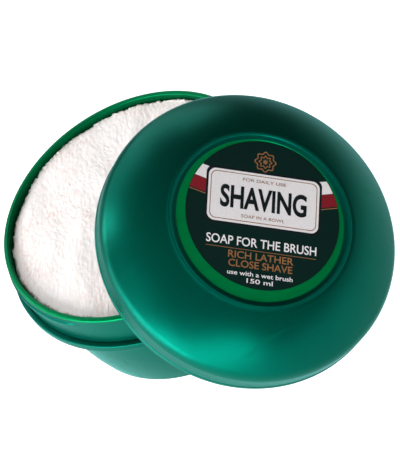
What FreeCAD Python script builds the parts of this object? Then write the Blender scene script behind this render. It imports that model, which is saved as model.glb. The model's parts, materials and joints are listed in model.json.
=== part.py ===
import FreeCAD, Part
import math
import os

import Sketcher

# Shaving soap in a screw-lidded plastic bowl, in millimetres.
# The jar stands upright on the table with its axis on Z; the lid leans on it towards -Y.

# ---------------------------------------------------------------- driving sizes

SIZES = {
    # jar
    "jar_height": 49.1,
    "neck_height": 12.2,
    "neck_radius": 49.6,
    "neck_wall": 2.0,
    "rim_round": 0.9,
    "flange_step": 2.3,
    "flange_thickness": 3.0,
    "flange_round": 0.5,
    # outer bowl
    "foot_inset": 4.2,
    "foot_width": 2.6,
    "foot_round": 0.7,
    "foot_recess": 2.2,
    "base_thickness": 1.8,
    "bowl_wall": 1.8,
    "waist_inset": 4.2,
    "waist_drop": 8.1,
    "side_bulge_radius": 100.0,
    "cove_radius": 7.0,
    "bowl_top_width": 2.6,
    # socket where the cup is welded into the bowl
    "socket_inset": 1.9,
    "socket_depth": 1.3,
    "weld_clearance": 0.15,
    # cup inside the bowl
    "cup_gap": 0.5,
    "cup_wall": 1.6,
    "cup_depth": 10.9,
    "cup_corner_radius": 4.0,
    "cup_cone_height": 5.2,
    # soap
    "soap_headspace": 2.3,
    "soap_crown": 1.4,
    "soap_gap": 0.05,
    # thread shared by neck and lid
    "thread_pitch": 5.0,
    "thread_turns": 0.8,
    "thread_depth": 0.7,
    "thread_root_height": 2.0,
    "thread_crest_height": 0.7,
    "thread_embed": 0.5,
    "thread_clearance": 0.3,
    "neck_thread_rise": 5.1,
    "neck_thread_start": 257.0,
    "lid_thread_rise": 3.0,
    # lid
    "lid_wall": 1.2,
    "skirt_setback": 4.7,
    "dome_height": 16.9,
    "dome_width": 20.7,
    "skirt_round": 0.6,
    "dome_start_angle": 41.9,
    "dome_end_angle": 67.5,
    "dome_side_radius": 46.2,
    "dish_depth": 0.9,
    "dish_slope_width": 2.0,
    "crown_wall": 1.5,
    "closed_gap": 1.0,
    # seal ring under the lid
    "seal_inset": 1.3,
    "seal_width": 3.2,
    "seal_thickness": 1.0,
    "seal_clearance": 0.15,
    # printed discs
    "lid_label_margin": 2.4,
    "lid_label_offset": 2.1,
    "base_label_margin": 5.0,
    "label_thickness": 0.12,
    # how the lid leans on the jar
    "lean_tilt": 40.83,
    "lean_clearance": 1.3,
    "ceiling_clearance": 0.5,
}


class Dim:
    """A length that carries its number and the sheet formula behind it."""

    def __init__(self, value, formula):
        self.value = value
        self.formula = formula

    def _join(self, other, sign, value):
        return Dim(value, "(%s %s %s)" % (self.formula, sign, as_dim(other).formula))

    def __add__(self, other):
        return self._join(other, "+", self.value + as_dim(other).value)

    def __sub__(self, other):
        return self._join(other, "-", self.value - as_dim(other).value)

    def __mul__(self, other):
        return self._join(other, "*", self.value * as_dim(other).value)

    def __truediv__(self, other):
        return self._join(other, "/", self.value / as_dim(other).value)


def as_dim(number):
    """Wrap a plain number so that it can join a formula."""
    if isinstance(number, Dim):
        return number
    return Dim(float(number), repr(float(number)))


def sine(angle):
    return Dim(math.sin(math.radians(angle.value)), "sin(%s * 1deg)" % angle.formula)


def cosine(angle):
    return Dim(math.cos(math.radians(angle.value)), "cos(%s * 1deg)" % angle.formula)


def root(number):
    return Dim(math.sqrt(number.value), "sqrt(%s)" % number.formula)


def larger(one, other):
    return Dim(max(one.value, other.value), "max(%s; %s)" % (one.formula, other.formula))


ZERO = as_dim(0)


class Sizes:
    """The sheet's cells as attributes, each one a Dim, and the sizes that follow from them."""

    def __init__(self, values):
        for name, value in values.items():
            setattr(self, name, Dim(value, "sizes.%s" % name))
        self.flange_radius = self.neck_radius + self.flange_step
        self.waist_radius = self.neck_radius - self.waist_inset
        self.foot_radius = self.waist_radius - self.foot_inset
        self.socket_radius = self.neck_radius - self.socket_inset
        self.cup_radius = self.waist_radius - self.bowl_wall - self.cup_gap - self.cup_wall
        self.skirt_inside = self.neck_radius + self.thread_depth + self.thread_clearance
        self.lid_radius = self.skirt_inside + self.lid_wall
        self.skirt_height = self.neck_height - self.skirt_setback
        self.lid_height = self.skirt_height + self.dome_height
        self.dish_radius = self.lid_radius - self.dome_width
        self.dish_floor_radius = self.dish_radius - self.dish_slope_width
        self.dish_floor_level = self.lid_height - self.dish_depth
        self.ceiling_level = self.dish_floor_level - self.crown_wall
        self.seal_radius = self.neck_radius - self.seal_inset
        self.lid_label_radius = self.dish_floor_radius - self.lid_label_margin
        foot_hole = self.foot_radius - self.foot_width - self.foot_recess / 4
        self.base_label_radius = foot_hole - self.base_label_margin
        self.shoulder_level = self.jar_height - self.neck_height
        self.flange_underside = self.shoulder_level - self.flange_thickness
        self.waist_height = self.flange_underside - self.waist_drop
        self.cup_floor_height = self.flange_underside - self.cup_depth
        self.seal_level = self.neck_height - self.closed_gap + self.seal_clearance


def make_sheet(doc, values):
    """Write every driving size to the sheet, with its name as the alias."""
    sheet = doc.addObject("Spreadsheet::Sheet", "sizes")
    for row, (name, value) in enumerate(values.items(), start=1):
        sheet.set("A%d" % row, name)
        sheet.set("B%d" % row, str(value))
        sheet.setAlias("B%d" % row, name)
    doc.recompute()
    return sheet


# ---------------------------------------------------------------- sketch helpers

def line_to(radius, height):
    """The outline goes straight to this corner."""
    return ("line", radius, height, None)


def arc_to(radius, height, bend_radius, turn):
    """The outline bends to this corner; turn is +1 to the left and -1 to the right."""
    return ("arc", radius, height, bend_radius, turn)


def arc_middle(start, end, bend_radius, turn):
    """The middle point of the short arc between two points."""
    along_x = end.x - start.x
    along_y = end.y - start.y
    chord = math.hypot(along_x, along_y)
    rise = bend_radius - math.sqrt(max(0.0, bend_radius ** 2 - chord ** 2 / 4))
    middle_x = (start.x + end.x) / 2 + turn * rise * along_y / chord
    middle_y = (start.y + end.y) / 2 - turn * rise * along_x / chord
    return FreeCAD.Vector(middle_x, middle_y, 0)


def bind(sketch, constraint, name, formula):
    """Add a constraint, name it and drive it from the sheet."""
    index = sketch.addConstraint(constraint)
    sketch.renameConstraint(index, name)
    sketch.setExpression("Constraints.%s" % name, formula)


def origin_plane(body, role):
    """The body's own origin plane or axis with this role."""
    for feature in body.Origin.OriginFeatures:
        if feature.Role == role:
            return feature
    raise RuntimeError("no origin feature %s" % role)


def new_sketch(body, name, role):
    """An empty sketch on one of the body's origin planes."""
    sketch = body.newObject("Sketcher::SketchObject", name)
    sketch.AttachmentSupport = [(origin_plane(body, role), "")]
    sketch.MapMode = "FlatFace"
    return sketch


def draw_outline(sketch, corners):
    """Draw a closed outline; each corner says how the outline reaches it."""
    count = len(corners)
    points = [FreeCAD.Vector(corner[1].value, corner[2].value, 0) for corner in corners]
    for index in range(count):
        start = points[index]
        end = points[(index + 1) % count]
        step = corners[(index + 1) % count]
        if step[0] == "line":
            sketch.addGeometry(Part.LineSegment(start, end), False)
        else:
            middle = arc_middle(start, end, step[3].value, step[4])
            sketch.addGeometry(Part.Arc(start, middle, end), False)
    ends = [edge_ends(sketch, index, points[index]) for index in range(count)]
    for index in range(count):
        following = (index + 1) % count
        joint = Sketcher.Constraint("Coincident", index, ends[index][1], following, ends[following][0])
        sketch.addConstraint(joint)
    for index, corner in enumerate(corners):
        pin_end(sketch, index, ends[index][0], corner[1], corner[2])
    for index in range(count):
        step = corners[(index + 1) % count]
        if step[0] == "arc":
            bend = Sketcher.Constraint("Radius", index, step[3].value)
            bind(sketch, bend, "bend_%d" % index, step[3].formula)


def edge_ends(sketch, index, start):
    """Which end of an edge is the outline's start, because arcs always run anticlockwise."""
    first = sketch.getPoint(index, 1)
    if first.distanceToPoint(start) < 1e-6:
        return (1, 2)
    return (2, 1)


def pin_end(sketch, edge, end, radius, height):
    """Hold one end of an edge at a radius and a height from the sheet."""
    if radius is ZERO:
        sketch.addConstraint(Sketcher.Constraint("PointOnObject", edge, end, -2))
    else:
        across = Sketcher.Constraint("DistanceX", -1, 1, edge, end, radius.value)
        bind(sketch, across, "across_%d" % edge, radius.formula)
    if height is ZERO:
        sketch.addConstraint(Sketcher.Constraint("PointOnObject", edge, end, -1))
    else:
        up = Sketcher.Constraint("DistanceY", -1, 1, edge, end, height.value)
        bind(sketch, up, "up_%d" % edge, height.formula)


def new_body(doc, name):
    body = doc.addObject("PartDesign::Body", name)
    body.Label = name
    return body


def revolve(body, corners):
    """Turn an outline of radii and heights round the body's Z axis."""
    sketch = new_sketch(body, body.Name + "_outline", "XZ_Plane")
    draw_outline(sketch, corners)
    turned = body.newObject("PartDesign::Revolution", body.Name + "_turned")
    turned.Profile = sketch
    turned.ReferenceAxis = (sketch, ["V_Axis"])
    turned.Angle = 360.0
    body.Tip = turned
    return turned


def add_thread(body, sizes, wall_radius, first_height, outwards):
    """Sweep one ridge round the wall; it grows outwards on a neck and inwards in a lid."""
    way = 1 if outwards else -1
    half_root = sizes.thread_root_height / 2
    half_crest = sizes.thread_crest_height / 2
    buried = wall_radius - sizes.thread_embed * way
    crest = wall_radius + sizes.thread_depth * way
    sketch = new_sketch(body, body.Name + "_ridge", "XZ_Plane")
    draw_outline(sketch, [
        line_to(buried, first_height - half_root),
        line_to(wall_radius, first_height - half_root),
        line_to(crest, first_height - half_crest),
        line_to(crest, first_height + half_crest),
        line_to(wall_radius, first_height + half_root),
        line_to(buried, first_height + half_root),
    ])
    ridge = body.newObject("PartDesign::AdditiveHelix", body.Name + "_thread")
    ridge.Profile = sketch
    ridge.ReferenceAxis = (sketch, ["V_Axis"])
    ridge.Mode = "pitch-turns-angle"
    ridge.setExpression("Pitch", sizes.thread_pitch.formula)
    ridge.setExpression("Turns", sizes.thread_turns.formula)
    ridge.Angle = 0.0
    body.Tip = ridge
    return ridge


def pad_disc(body, radius, hole_radius, thickness, level, offset):
    """Pad a disc, or a ring where a hole is given, up from a level; offset moves it along X."""
    sketch = new_sketch(body, body.Name + "_outline", "XY_Plane")
    sketch.setExpression("AttachmentOffset.Base.z", level.formula)
    for index, size in enumerate(part for part in (radius, hole_radius) if part is not None):
        centre = FreeCAD.Vector(offset.value, 0, 0)
        sketch.addGeometry(Part.Circle(centre, FreeCAD.Vector(0, 0, 1), size.value), False)
        bend = Sketcher.Constraint("Radius", index, size.value)
        bind(sketch, bend, "bend_%d" % index, size.formula)
        sketch.addConstraint(Sketcher.Constraint("PointOnObject", index, 3, -1))
        if offset is ZERO:
            sketch.addConstraint(Sketcher.Constraint("PointOnObject", index, 3, -2))
        else:
            across = Sketcher.Constraint("DistanceX", -1, 1, index, 3, offset.value)
            bind(sketch, across, "across_%d" % index, offset.formula)
    pad = body.newObject("PartDesign::Pad", body.Name + "_pad")
    pad.Profile = sketch
    pad.setExpression("Length", thickness.formula)
    body.Tip = pad
    return pad


# ---------------------------------------------------------------- the jar

def make_outer_bowl(doc, sizes):
    """The bowl that stands on the table: foot ring, bulging side, cove and cup socket."""
    top = sizes.flange_underside
    foot_bottom = sizes.foot_radius - sizes.foot_round
    cove_centre = sizes.waist_radius + sizes.cove_radius
    bowl_top = sizes.socket_radius + sizes.bowl_top_width
    overhang = cove_centre - bowl_top
    cove_rise = root(sizes.cove_radius * sizes.cove_radius - overhang * overhang)
    inner_floor = sizes.foot_recess + sizes.base_thickness
    inner_foot = sizes.foot_radius - sizes.bowl_wall + sizes.base_thickness / 2
    body = new_body(doc, "outer_bowl")
    revolve(body, [
        line_to(sizes.foot_radius - sizes.foot_width, ZERO),
        line_to(foot_bottom, ZERO),
        arc_to(sizes.foot_radius, sizes.foot_round, sizes.foot_round, 1),
        arc_to(sizes.waist_radius, sizes.waist_height, sizes.side_bulge_radius, 1),
        arc_to(bowl_top, sizes.waist_height + cove_rise, sizes.cove_radius, -1),
        line_to(bowl_top, top),
        line_to(sizes.socket_radius, top),
        line_to(sizes.socket_radius, top - sizes.socket_depth),
        line_to(sizes.waist_radius - sizes.bowl_wall, sizes.waist_height + sizes.bowl_wall),
        arc_to(inner_foot, inner_floor, sizes.side_bulge_radius, -1),
        line_to(ZERO, inner_floor),
        line_to(ZERO, sizes.foot_recess),
        line_to(sizes.foot_radius - sizes.foot_width - sizes.foot_recess / 4, sizes.foot_recess),
    ])
    return body


def cup_inside(sizes):
    """The cup's inner corners from the axis outwards, shared by the cup and the soap."""
    corner = sizes.cup_corner_radius
    floor = sizes.cup_floor_height
    inner_neck = sizes.neck_radius - sizes.neck_wall
    cone_top = sizes.flange_underside
    return {
        "floor": (sizes.cup_radius - corner, floor),
        "corner": (sizes.cup_radius, floor + corner),
        "cone_foot": (sizes.cup_radius, cone_top - sizes.cup_cone_height),
        "cone_top": (sizes.socket_radius - sizes.weld_clearance - sizes.cup_wall, cone_top),
        "neck_foot": (inner_neck, sizes.shoulder_level),
        "neck": inner_neck,
    }


def make_inner_cup(doc, sizes):
    """The soap's cup with the flange that closes the bowl and the threaded neck above it."""
    inside = cup_inside(sizes)
    shoulder = sizes.shoulder_level
    underside = sizes.flange_underside
    spigot = sizes.socket_radius - sizes.weld_clearance
    outer_cup = sizes.cup_radius + sizes.cup_wall
    outer_corner = sizes.cup_corner_radius + sizes.cup_wall
    under_floor = sizes.cup_floor_height - sizes.cup_wall
    cone_foot = underside - sizes.cup_cone_height - sizes.cup_wall / 2
    body = new_body(doc, "inner_cup")
    revolve(body, [
        line_to(ZERO, under_floor),
        line_to(outer_cup - outer_corner, under_floor),
        arc_to(outer_cup, under_floor + outer_corner, outer_corner, 1),
        line_to(outer_cup, cone_foot),
        line_to(spigot, underside - sizes.socket_depth + sizes.weld_clearance),
        line_to(spigot, underside),
        line_to(sizes.flange_radius - sizes.flange_round, underside),
        arc_to(sizes.flange_radius, underside + sizes.flange_round, sizes.flange_round, 1),
        line_to(sizes.flange_radius, shoulder - sizes.flange_round),
        arc_to(sizes.flange_radius - sizes.flange_round, shoulder, sizes.flange_round, 1),
        line_to(sizes.neck_radius, shoulder),
        line_to(sizes.neck_radius, sizes.jar_height - sizes.rim_round),
        arc_to(sizes.neck_radius - sizes.rim_round, sizes.jar_height, sizes.rim_round, 1),
        line_to(inside["neck"], sizes.jar_height),
        line_to(*inside["neck_foot"]),
        line_to(*inside["cone_top"]),
        line_to(*inside["cone_foot"]),
        line_to(*inside["corner"]),
        arc_to(*inside["floor"], sizes.cup_corner_radius, -1),
        line_to(ZERO, sizes.cup_floor_height),
    ])
    thread_level = shoulder + sizes.neck_thread_rise
    doc.recompute()
    add_thread(body, sizes, sizes.neck_radius, thread_level, True)
    body.setExpression("Placement.Rotation.Angle", sizes.neck_thread_start.formula)
    return body


def make_soap(doc, sizes):
    """The poured soap: it fills the cup and stands a little proud in the middle."""
    gap = sizes.soap_gap
    inside = cup_inside(sizes)
    edge_level = sizes.jar_height - sizes.soap_headspace
    edge_radius = inside["neck"] - gap
    crown_bend = edge_radius * edge_radius / (sizes.soap_crown * 2) + sizes.soap_crown / 2
    body = new_body(doc, "soap")
    revolve(body, [
        line_to(ZERO, inside["floor"][1] + gap),
        line_to(inside["floor"][0], inside["floor"][1] + gap),
        arc_to(inside["corner"][0] - gap, inside["corner"][1], sizes.cup_corner_radius - gap, 1),
        line_to(inside["cone_foot"][0] - gap, inside["cone_foot"][1]),
        line_to(inside["cone_top"][0] - gap, inside["cone_top"][1]),
        line_to(inside["neck_foot"][0] - gap, inside["neck_foot"][1]),
        line_to(edge_radius, edge_level),
        arc_to(ZERO, edge_level + sizes.soap_crown, crown_bend, 1),
    ])
    return body


def make_base_label(doc, sizes):
    """The round paper label in the recess under the foot."""
    body = new_body(doc, "base_label")
    level = sizes.foot_recess - sizes.label_thickness
    pad_disc(body, sizes.base_label_radius, None, sizes.label_thickness, level, ZERO)
    return body


# ---------------------------------------------------------------- the lid

def lean_reach(sizes, edge_level):
    """How far the leaning lid's middle stands out from the jar's axis.

    The skirt's inside clears the jar's rim where it crosses it on both sides, and the
    ceiling clears the rim in front. The one that needs more room decides.
    """
    lost_corner = sizes.rim_round * (as_dim(1) - cosine(as_dim(45)))
    rim_radius = sizes.neck_radius - lost_corner
    rim_rise = sizes.jar_height - lost_corner - edge_level
    slope = rim_rise / sine(sizes.lean_tilt)
    crossing = rim_radius * rim_radius - sizes.skirt_inside * sizes.skirt_inside + slope * slope
    by_skirt = slope * cosine(sizes.lean_tilt) + root(crossing)
    room = sizes.ceiling_level - rim_rise * cosine(sizes.lean_tilt)
    by_ceiling = sizes.neck_radius - room / sine(sizes.lean_tilt)
    return larger(by_skirt + sizes.lean_clearance, by_ceiling + sizes.ceiling_clearance)


def lean(body, sizes):
    """Tip a lid piece over towards -Y, with the skirt's rounded edge just touching the table."""
    edge_centre = (sizes.lid_radius - sizes.skirt_round) * sine(sizes.lean_tilt)
    edge_drop = sizes.skirt_round * (as_dim(1) - cosine(sizes.lean_tilt))
    level = edge_centre + edge_drop
    body.setExpression("Placement.Base.y", "0 - %s" % lean_reach(sizes, level).formula)
    body.setExpression("Placement.Base.z", level.formula)
    body.setExpression("Placement.Rotation.Axis.x", "1")
    body.setExpression("Placement.Rotation.Axis.y", "0")
    body.setExpression("Placement.Rotation.Axis.z", "0")
    body.setExpression("Placement.Rotation.Angle", sizes.lean_tilt.formula)


def dome_shape(sizes):
    """Centres and radii of the dome's three tangent arcs, from skirt to dish lip.

    The middle arc's radius and the two angles where the arcs meet are given. The first and
    last radii are the pair that ends the chain level at the dish lip.
    """
    sine_start = sine(sizes.dome_start_angle)
    cosine_start = cosine(sizes.dome_start_angle)
    sine_end = sine(sizes.dome_end_angle)
    cosine_end = cosine(sizes.dome_end_angle)
    side = sizes.dome_side_radius
    one = as_dim(1)
    across = sizes.lid_radius - sizes.dish_radius - side * (cosine_start - cosine_end)
    up = sizes.lid_height - sizes.skirt_height - side * (sine_end - sine_start)
    scale = (one - cosine_start) * (one - sine_end) - cosine_end * sine_start
    low = (across * (one - sine_end) - cosine_end * up) / scale
    high = ((one - cosine_start) * up - sine_start * across) / scale
    low_end = (sizes.lid_radius - low * (one - cosine_start), sizes.skirt_height + low * sine_start)
    side_centre = (low_end[0] - side * cosine_start, low_end[1] - side * sine_start)
    side_end = (side_centre[0] + side * cosine_end, side_centre[1] + side * sine_end)
    return {"low": low, "high": high, "low_end": low_end, "side_centre": side_centre, "side_end": side_end}


def make_lid_shell(doc, sizes):
    """The domed screw lid: thin skirt, seal seat, dome and the shallow dish for the label."""
    dome = dome_shape(sizes)
    wall = sizes.lid_wall
    skirt_inside = sizes.skirt_inside
    low_inside = dome["low"] - wall
    side_inside = sizes.dome_side_radius - wall
    seat_radius = sizes.seal_radius + sizes.seal_clearance
    seat_level = sizes.seal_level + sizes.seal_thickness + sizes.seal_clearance
    seat_inner = sizes.seal_radius - sizes.seal_width
    ceiling = sizes.ceiling_level
    low_turn = root(low_inside * low_inside - (skirt_inside - low_inside - seat_radius)
                    * (skirt_inside - low_inside - seat_radius))
    seat_foot = sizes.skirt_height + low_turn
    centre_radius, centre_level = dome["side_centre"]
    seat_across = seat_inner - centre_radius
    seat_top = centre_level + root(side_inside * side_inside - seat_across * seat_across)
    ceiling_up = ceiling - centre_level
    ceiling_radius = centre_radius + root(side_inside * side_inside - ceiling_up * ceiling_up)
    body = new_body(doc, "lid_shell")
    revolve(body, [
        line_to(skirt_inside, ZERO),
        line_to(sizes.lid_radius - sizes.skirt_round, ZERO),
        arc_to(sizes.lid_radius, sizes.skirt_round, sizes.skirt_round, 1),
        line_to(sizes.lid_radius, sizes.skirt_height),
        arc_to(*dome["low_end"], dome["low"], 1),
        arc_to(*dome["side_end"], sizes.dome_side_radius, 1),
        arc_to(sizes.dish_radius, sizes.lid_height, dome["high"], 1),
        line_to(sizes.dish_floor_radius, sizes.dish_floor_level),
        line_to(ZERO, sizes.dish_floor_level),
        line_to(ZERO, ceiling),
        line_to(ceiling_radius, ceiling),
        arc_to(seat_inner, seat_top, side_inside, -1),
        line_to(seat_inner, seat_level),
        line_to(seat_radius, seat_level),
        line_to(seat_radius, seat_foot),
        arc_to(skirt_inside, sizes.skirt_height, low_inside, -1),
    ])
    doc.recompute()
    add_thread(body, sizes, skirt_inside, sizes.lid_thread_rise, False)
    lean(body, sizes)
    return body


def make_seal_ring(doc, sizes):
    """The loose foam ring that the closed lid presses onto the rim."""
    body = new_body(doc, "seal_ring")
    inner = sizes.seal_radius - sizes.seal_width
    pad_disc(body, sizes.seal_radius, inner, sizes.seal_thickness, sizes.seal_level, ZERO)
    lean(body, sizes)
    return body


def make_lid_label(doc, sizes):
    """The printed disc in the dish, a little off the middle."""
    body = new_body(doc, "lid_label")
    level = sizes.dish_floor_level
    pad_disc(body, sizes.lid_label_radius, None, sizes.label_thickness, level, sizes.lid_label_offset)
    lean(body, sizes)
    return body


# ---------------------------------------------------------------- checks and files

def check_document(doc):
    """Stop on any object that failed to recompute."""
    for item in doc.Objects:
        if "Invalid" in item.State or "Error" in item.State:
            raise RuntimeError("%s failed: %s" % (item.Name, item.State))


def check_thread(body):
    """Stop if the thread added nothing to its wall."""
    turned, ridge = [item for item in body.Group if item.TypeId != "Sketcher::SketchObject"]
    if ridge.Shape.Volume <= turned.Shape.Volume:
        raise RuntimeError("%s has no thread" % body.Name)


def check_body(body):
    """Stop unless the body is one sound solid."""
    shape = body.Shape
    if shape.isNull() or not shape.isValid() or len(shape.Solids) != 1:
        raise RuntimeError("%s is not one valid solid" % body.Label)
    print("%-12s %9.1f mm3" % (body.Label, shape.Volume))


def main():
    doc = FreeCAD.newDocument("shaving_soap")
    make_sheet(doc, SIZES)
    sizes = Sizes(SIZES)
    threaded = [make_inner_cup(doc, sizes), make_lid_shell(doc, sizes)]
    plain = [
        make_outer_bowl(doc, sizes),
        make_soap(doc, sizes),
        make_base_label(doc, sizes),
        make_seal_ring(doc, sizes),
        make_lid_label(doc, sizes),
    ]
    doc.recompute()
    check_document(doc)
    for body in threaded:
        check_thread(body)
    os.makedirs("parts", exist_ok=True)
    for body in threaded + plain:
        check_body(body)
        body.Shape.exportStep("parts/%s.step" % body.Label)


main()
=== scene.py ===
"""Looks of a shaving soap bowl: a threaded bowl of soap with its domed lid off, leaning on the rim.

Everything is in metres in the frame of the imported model. The jar stands on the table with its
axis on Z, and the lid leans on the jar's rim towards -Y.
"""

import json
import logging
import math
from dataclasses import dataclass, field
from enum import Enum
from typing import Callable, Optional, Sequence

import bmesh
import bpy
import numpy as np
from mathutils import Matrix, Vector


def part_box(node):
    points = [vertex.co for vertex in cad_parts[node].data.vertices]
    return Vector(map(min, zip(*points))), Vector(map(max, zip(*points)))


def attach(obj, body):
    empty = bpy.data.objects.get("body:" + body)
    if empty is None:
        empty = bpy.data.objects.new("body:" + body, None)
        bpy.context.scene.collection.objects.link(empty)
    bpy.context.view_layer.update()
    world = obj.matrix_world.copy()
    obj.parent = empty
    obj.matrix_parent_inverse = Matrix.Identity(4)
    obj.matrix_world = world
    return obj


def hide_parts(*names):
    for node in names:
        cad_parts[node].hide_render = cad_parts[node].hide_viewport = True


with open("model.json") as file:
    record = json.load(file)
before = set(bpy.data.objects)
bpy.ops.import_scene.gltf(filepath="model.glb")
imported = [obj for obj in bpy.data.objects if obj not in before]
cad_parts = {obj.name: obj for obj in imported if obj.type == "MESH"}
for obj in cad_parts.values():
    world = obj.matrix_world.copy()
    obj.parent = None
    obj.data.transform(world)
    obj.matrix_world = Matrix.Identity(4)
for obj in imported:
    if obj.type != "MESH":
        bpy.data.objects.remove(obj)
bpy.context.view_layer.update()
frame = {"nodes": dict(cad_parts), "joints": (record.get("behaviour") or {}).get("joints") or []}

LOG = logging.getLogger("shaving_soap")

MM = 0.001
FULL_TURN = 2 * math.pi

# Greatest angle between two points of an arc, and fewest points in one.
ARC_STEP = math.radians(4.0)
ARC_POINTS = 5
# Points of a fillet between its two ends.
FILLET_POINTS = 7
# Places along an outline that are closer than this count as one.
SAME_PLACE = 1e-7
# A point this close to a threaded wall is on it.
WALL_TOLERANCE = 0.01 * MM
# Faces that meet at more than this angle keep a sharp edge.
SHARP_ANGLE = math.radians(38.0)
# Height of a capital letter as a share of the font's size.
CAPITAL_SHARE = 0.7
# Thickness of a printed layer.
PRINT_THICKNESS = 0.02 * MM
# Direction in which the soap was shaved, from X.
SOAP_GRAIN = math.radians(27.5)
# The colour sockets of a Mix node, whose other sockets have the same names.
MIX_COLOURS = (6, 7)
MIX_RESULT = 2

Array = np.ndarray
Colour = tuple[float, float, float]
Relief = Callable[[Array, Array, Array], Array]
Triple = tuple[float, float, float]
Key = int | str
Socket = bpy.types.NodeSocket
Piece = bpy.types.Object
Material = bpy.types.Material


# ---------------------------------------------------------------- outlines

class Turn(Enum):
    """Which way an arc bends as the outline runs along it."""

    LEFT = 1
    RIGHT = -1


@dataclass(frozen=True)
class Corner:
    """One corner of a turned piece's outline, and how the outline reaches it."""

    radius: float
    height: float
    fillet: float = 0.0
    bend: float = 0.0
    turn: Turn = Turn.LEFT
    step: float = 1.6 * MM


def edge_points(start: Corner, end: Corner) -> Array:
    """Points along one edge of an outline: a straight run, or the short arc of a given bend.

    Args:
        start: Corner that the edge leaves.
        end: Corner that the edge reaches, with its bend and turn.

    Returns:
        Points as rows of radius and height.
    """
    first = np.array([start.radius, start.height])
    chord = np.array([end.radius, end.height]) - first
    length = math.hypot(chord[0], chord[1])
    if end.bend == 0.0:
        count = max(2, math.ceil(length / end.step) + 1)
        return first + np.linspace(0.0, 1.0, count)[:, None] * chord
    left = np.array([-chord[1], chord[0]]) / length
    rise = math.sqrt(end.bend ** 2 - (length / 2) ** 2)
    centre = first + chord / 2 + left * rise * end.turn.value
    sweep = 2 * math.asin(length / (2 * end.bend)) * end.turn.value
    begin = math.atan2(first[1] - centre[1], first[0] - centre[0])
    count = max(ARC_POINTS, math.ceil(abs(sweep) / ARC_STEP) + 1)
    angles = begin + np.linspace(0.0, 1.0, count) * sweep
    return centre + end.bend * np.stack([np.cos(angles), np.sin(angles)], axis=1)


def trimmed(points: Array, at_start: float, at_end: float) -> Array:
    """Cut a length off both ends of a run of points.

    Args:
        points: Rows of radius and height.
        at_start: Length to cut from the first end.
        at_end: Length to cut from the last end.

    Returns:
        The shorter run, with new end points on the old one.
    """
    steps = np.hypot(*np.diff(points, axis=0).T)
    reach = np.concatenate([[0.0], np.cumsum(steps)])
    low = at_start
    high = reach[-1] - at_end
    inside = reach[(reach > low + SAME_PLACE) & (reach < high - SAME_PLACE)]
    places = np.concatenate([[low], inside, [high]])
    return np.stack([np.interp(places, reach, points[:, axis]) for axis in (0, 1)], axis=1)


def setback(incoming: Array, outgoing: Array, fillet: float) -> float:
    """How far from a corner its fillet starts: the radius times the tangent of half the turn.

    Args:
        incoming: Points of the edge that reaches the corner.
        outgoing: Points of the edge that leaves it.
        fillet: Radius of the fillet.

    Returns:
        The length to cut off both edges.
    """
    before = incoming[-1] - incoming[-2]
    after = outgoing[1] - outgoing[0]
    cross = before[0] * after[1] - before[1] * after[0]
    turn = abs(math.atan2(cross, float(before @ after)))
    return fillet * math.tan(turn / 2)


def rounded(before: Array, corner: Array, after: Array) -> Array:
    """Points of a fillet's arc, which leaves both edges where they were cut.

    The arc is a quadratic curve through its two ends. The corner pulls it with a weight equal
    to the cosine of half the turn, which makes the curve a true circle.

    Args:
        before: Last point of the edge that comes in.
        corner: The sharp corner.
        after: First point of the edge that goes out.

    Returns:
        The points between the two ends.
    """
    incoming = (corner - before) / np.linalg.norm(corner - before)
    outgoing = (after - corner) / np.linalg.norm(after - corner)
    weight = math.sqrt((1.0 + float(incoming @ outgoing)) / 2)
    share = np.linspace(0.0, 1.0, FILLET_POINTS + 2)[1:-1, None]
    start = (1 - share) ** 2
    middle = 2 * weight * share * (1 - share)
    end = share ** 2
    return (start * before + middle * corner + end * after) / (start + middle + end)


def outline(corners: Sequence[Corner], looped: bool = False) -> Array:
    """Run an outline through its corners, with each fillet cut in.

    Args:
        corners: The corners in order.
        looped: Whether the last corner leads back to the first.

    Returns:
        Rows of radius and height. A looped outline doesn't repeat its first point.
    """
    count = len(corners)
    pairs = count if looped else count - 1
    edges = [edge_points(corners[index], corners[(index + 1) % count]) for index in range(pairs)]
    cuts = [0.0] * count
    for index, corner in enumerate(corners):
        inner = looped or 0 < index < count - 1
        if corner.fillet > 0.0 and inner:
            cuts[index] = setback(edges[index - 1], edges[index % pairs], corner.fillet)
    runs = [trimmed(edge, cuts[index], cuts[(index + 1) % count]) for index, edge in enumerate(edges)]
    pieces: list[Array] = []
    for index, run in enumerate(runs):
        following = (index + 1) % count
        if index == pairs - 1 and not looped:
            pieces.append(run)
        elif cuts[following] > 0.0:
            middle = np.array([corners[following].radius, corners[following].height])
            pieces += [run, rounded(run[-1], middle, runs[(index + 1) % pairs][0])]
        else:
            pieces.append(run[:-1])
    return np.concatenate(pieces)


# ---------------------------------------------------------------- surfaces

def smooth_step(value: Array) -> Array:
    """Ease from 0 to 1: three times the square less twice the cube."""
    held = np.clip(value, 0.0, 1.0)
    return held * held * (3.0 - 2.0 * held)


def near_edge(share: Array, width: float) -> Array:
    """Ease from 0 at a width inside a disc's edge to 1 on the edge, where the share is 1."""
    return smooth_step((share - 1.0 + width) / width)


def even_angles(count: int) -> Array:
    """Angles spread evenly round a full turn, from 0."""
    return np.linspace(0.0, FULL_TURN, count, endpoint=False)


def polar(reach: Array | float, angles: Array) -> Array:
    """Rows of x and y at a distance, or one distance each, from the origin."""
    return np.stack([reach * np.cos(angles), reach * np.sin(angles)], axis=-1)


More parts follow.
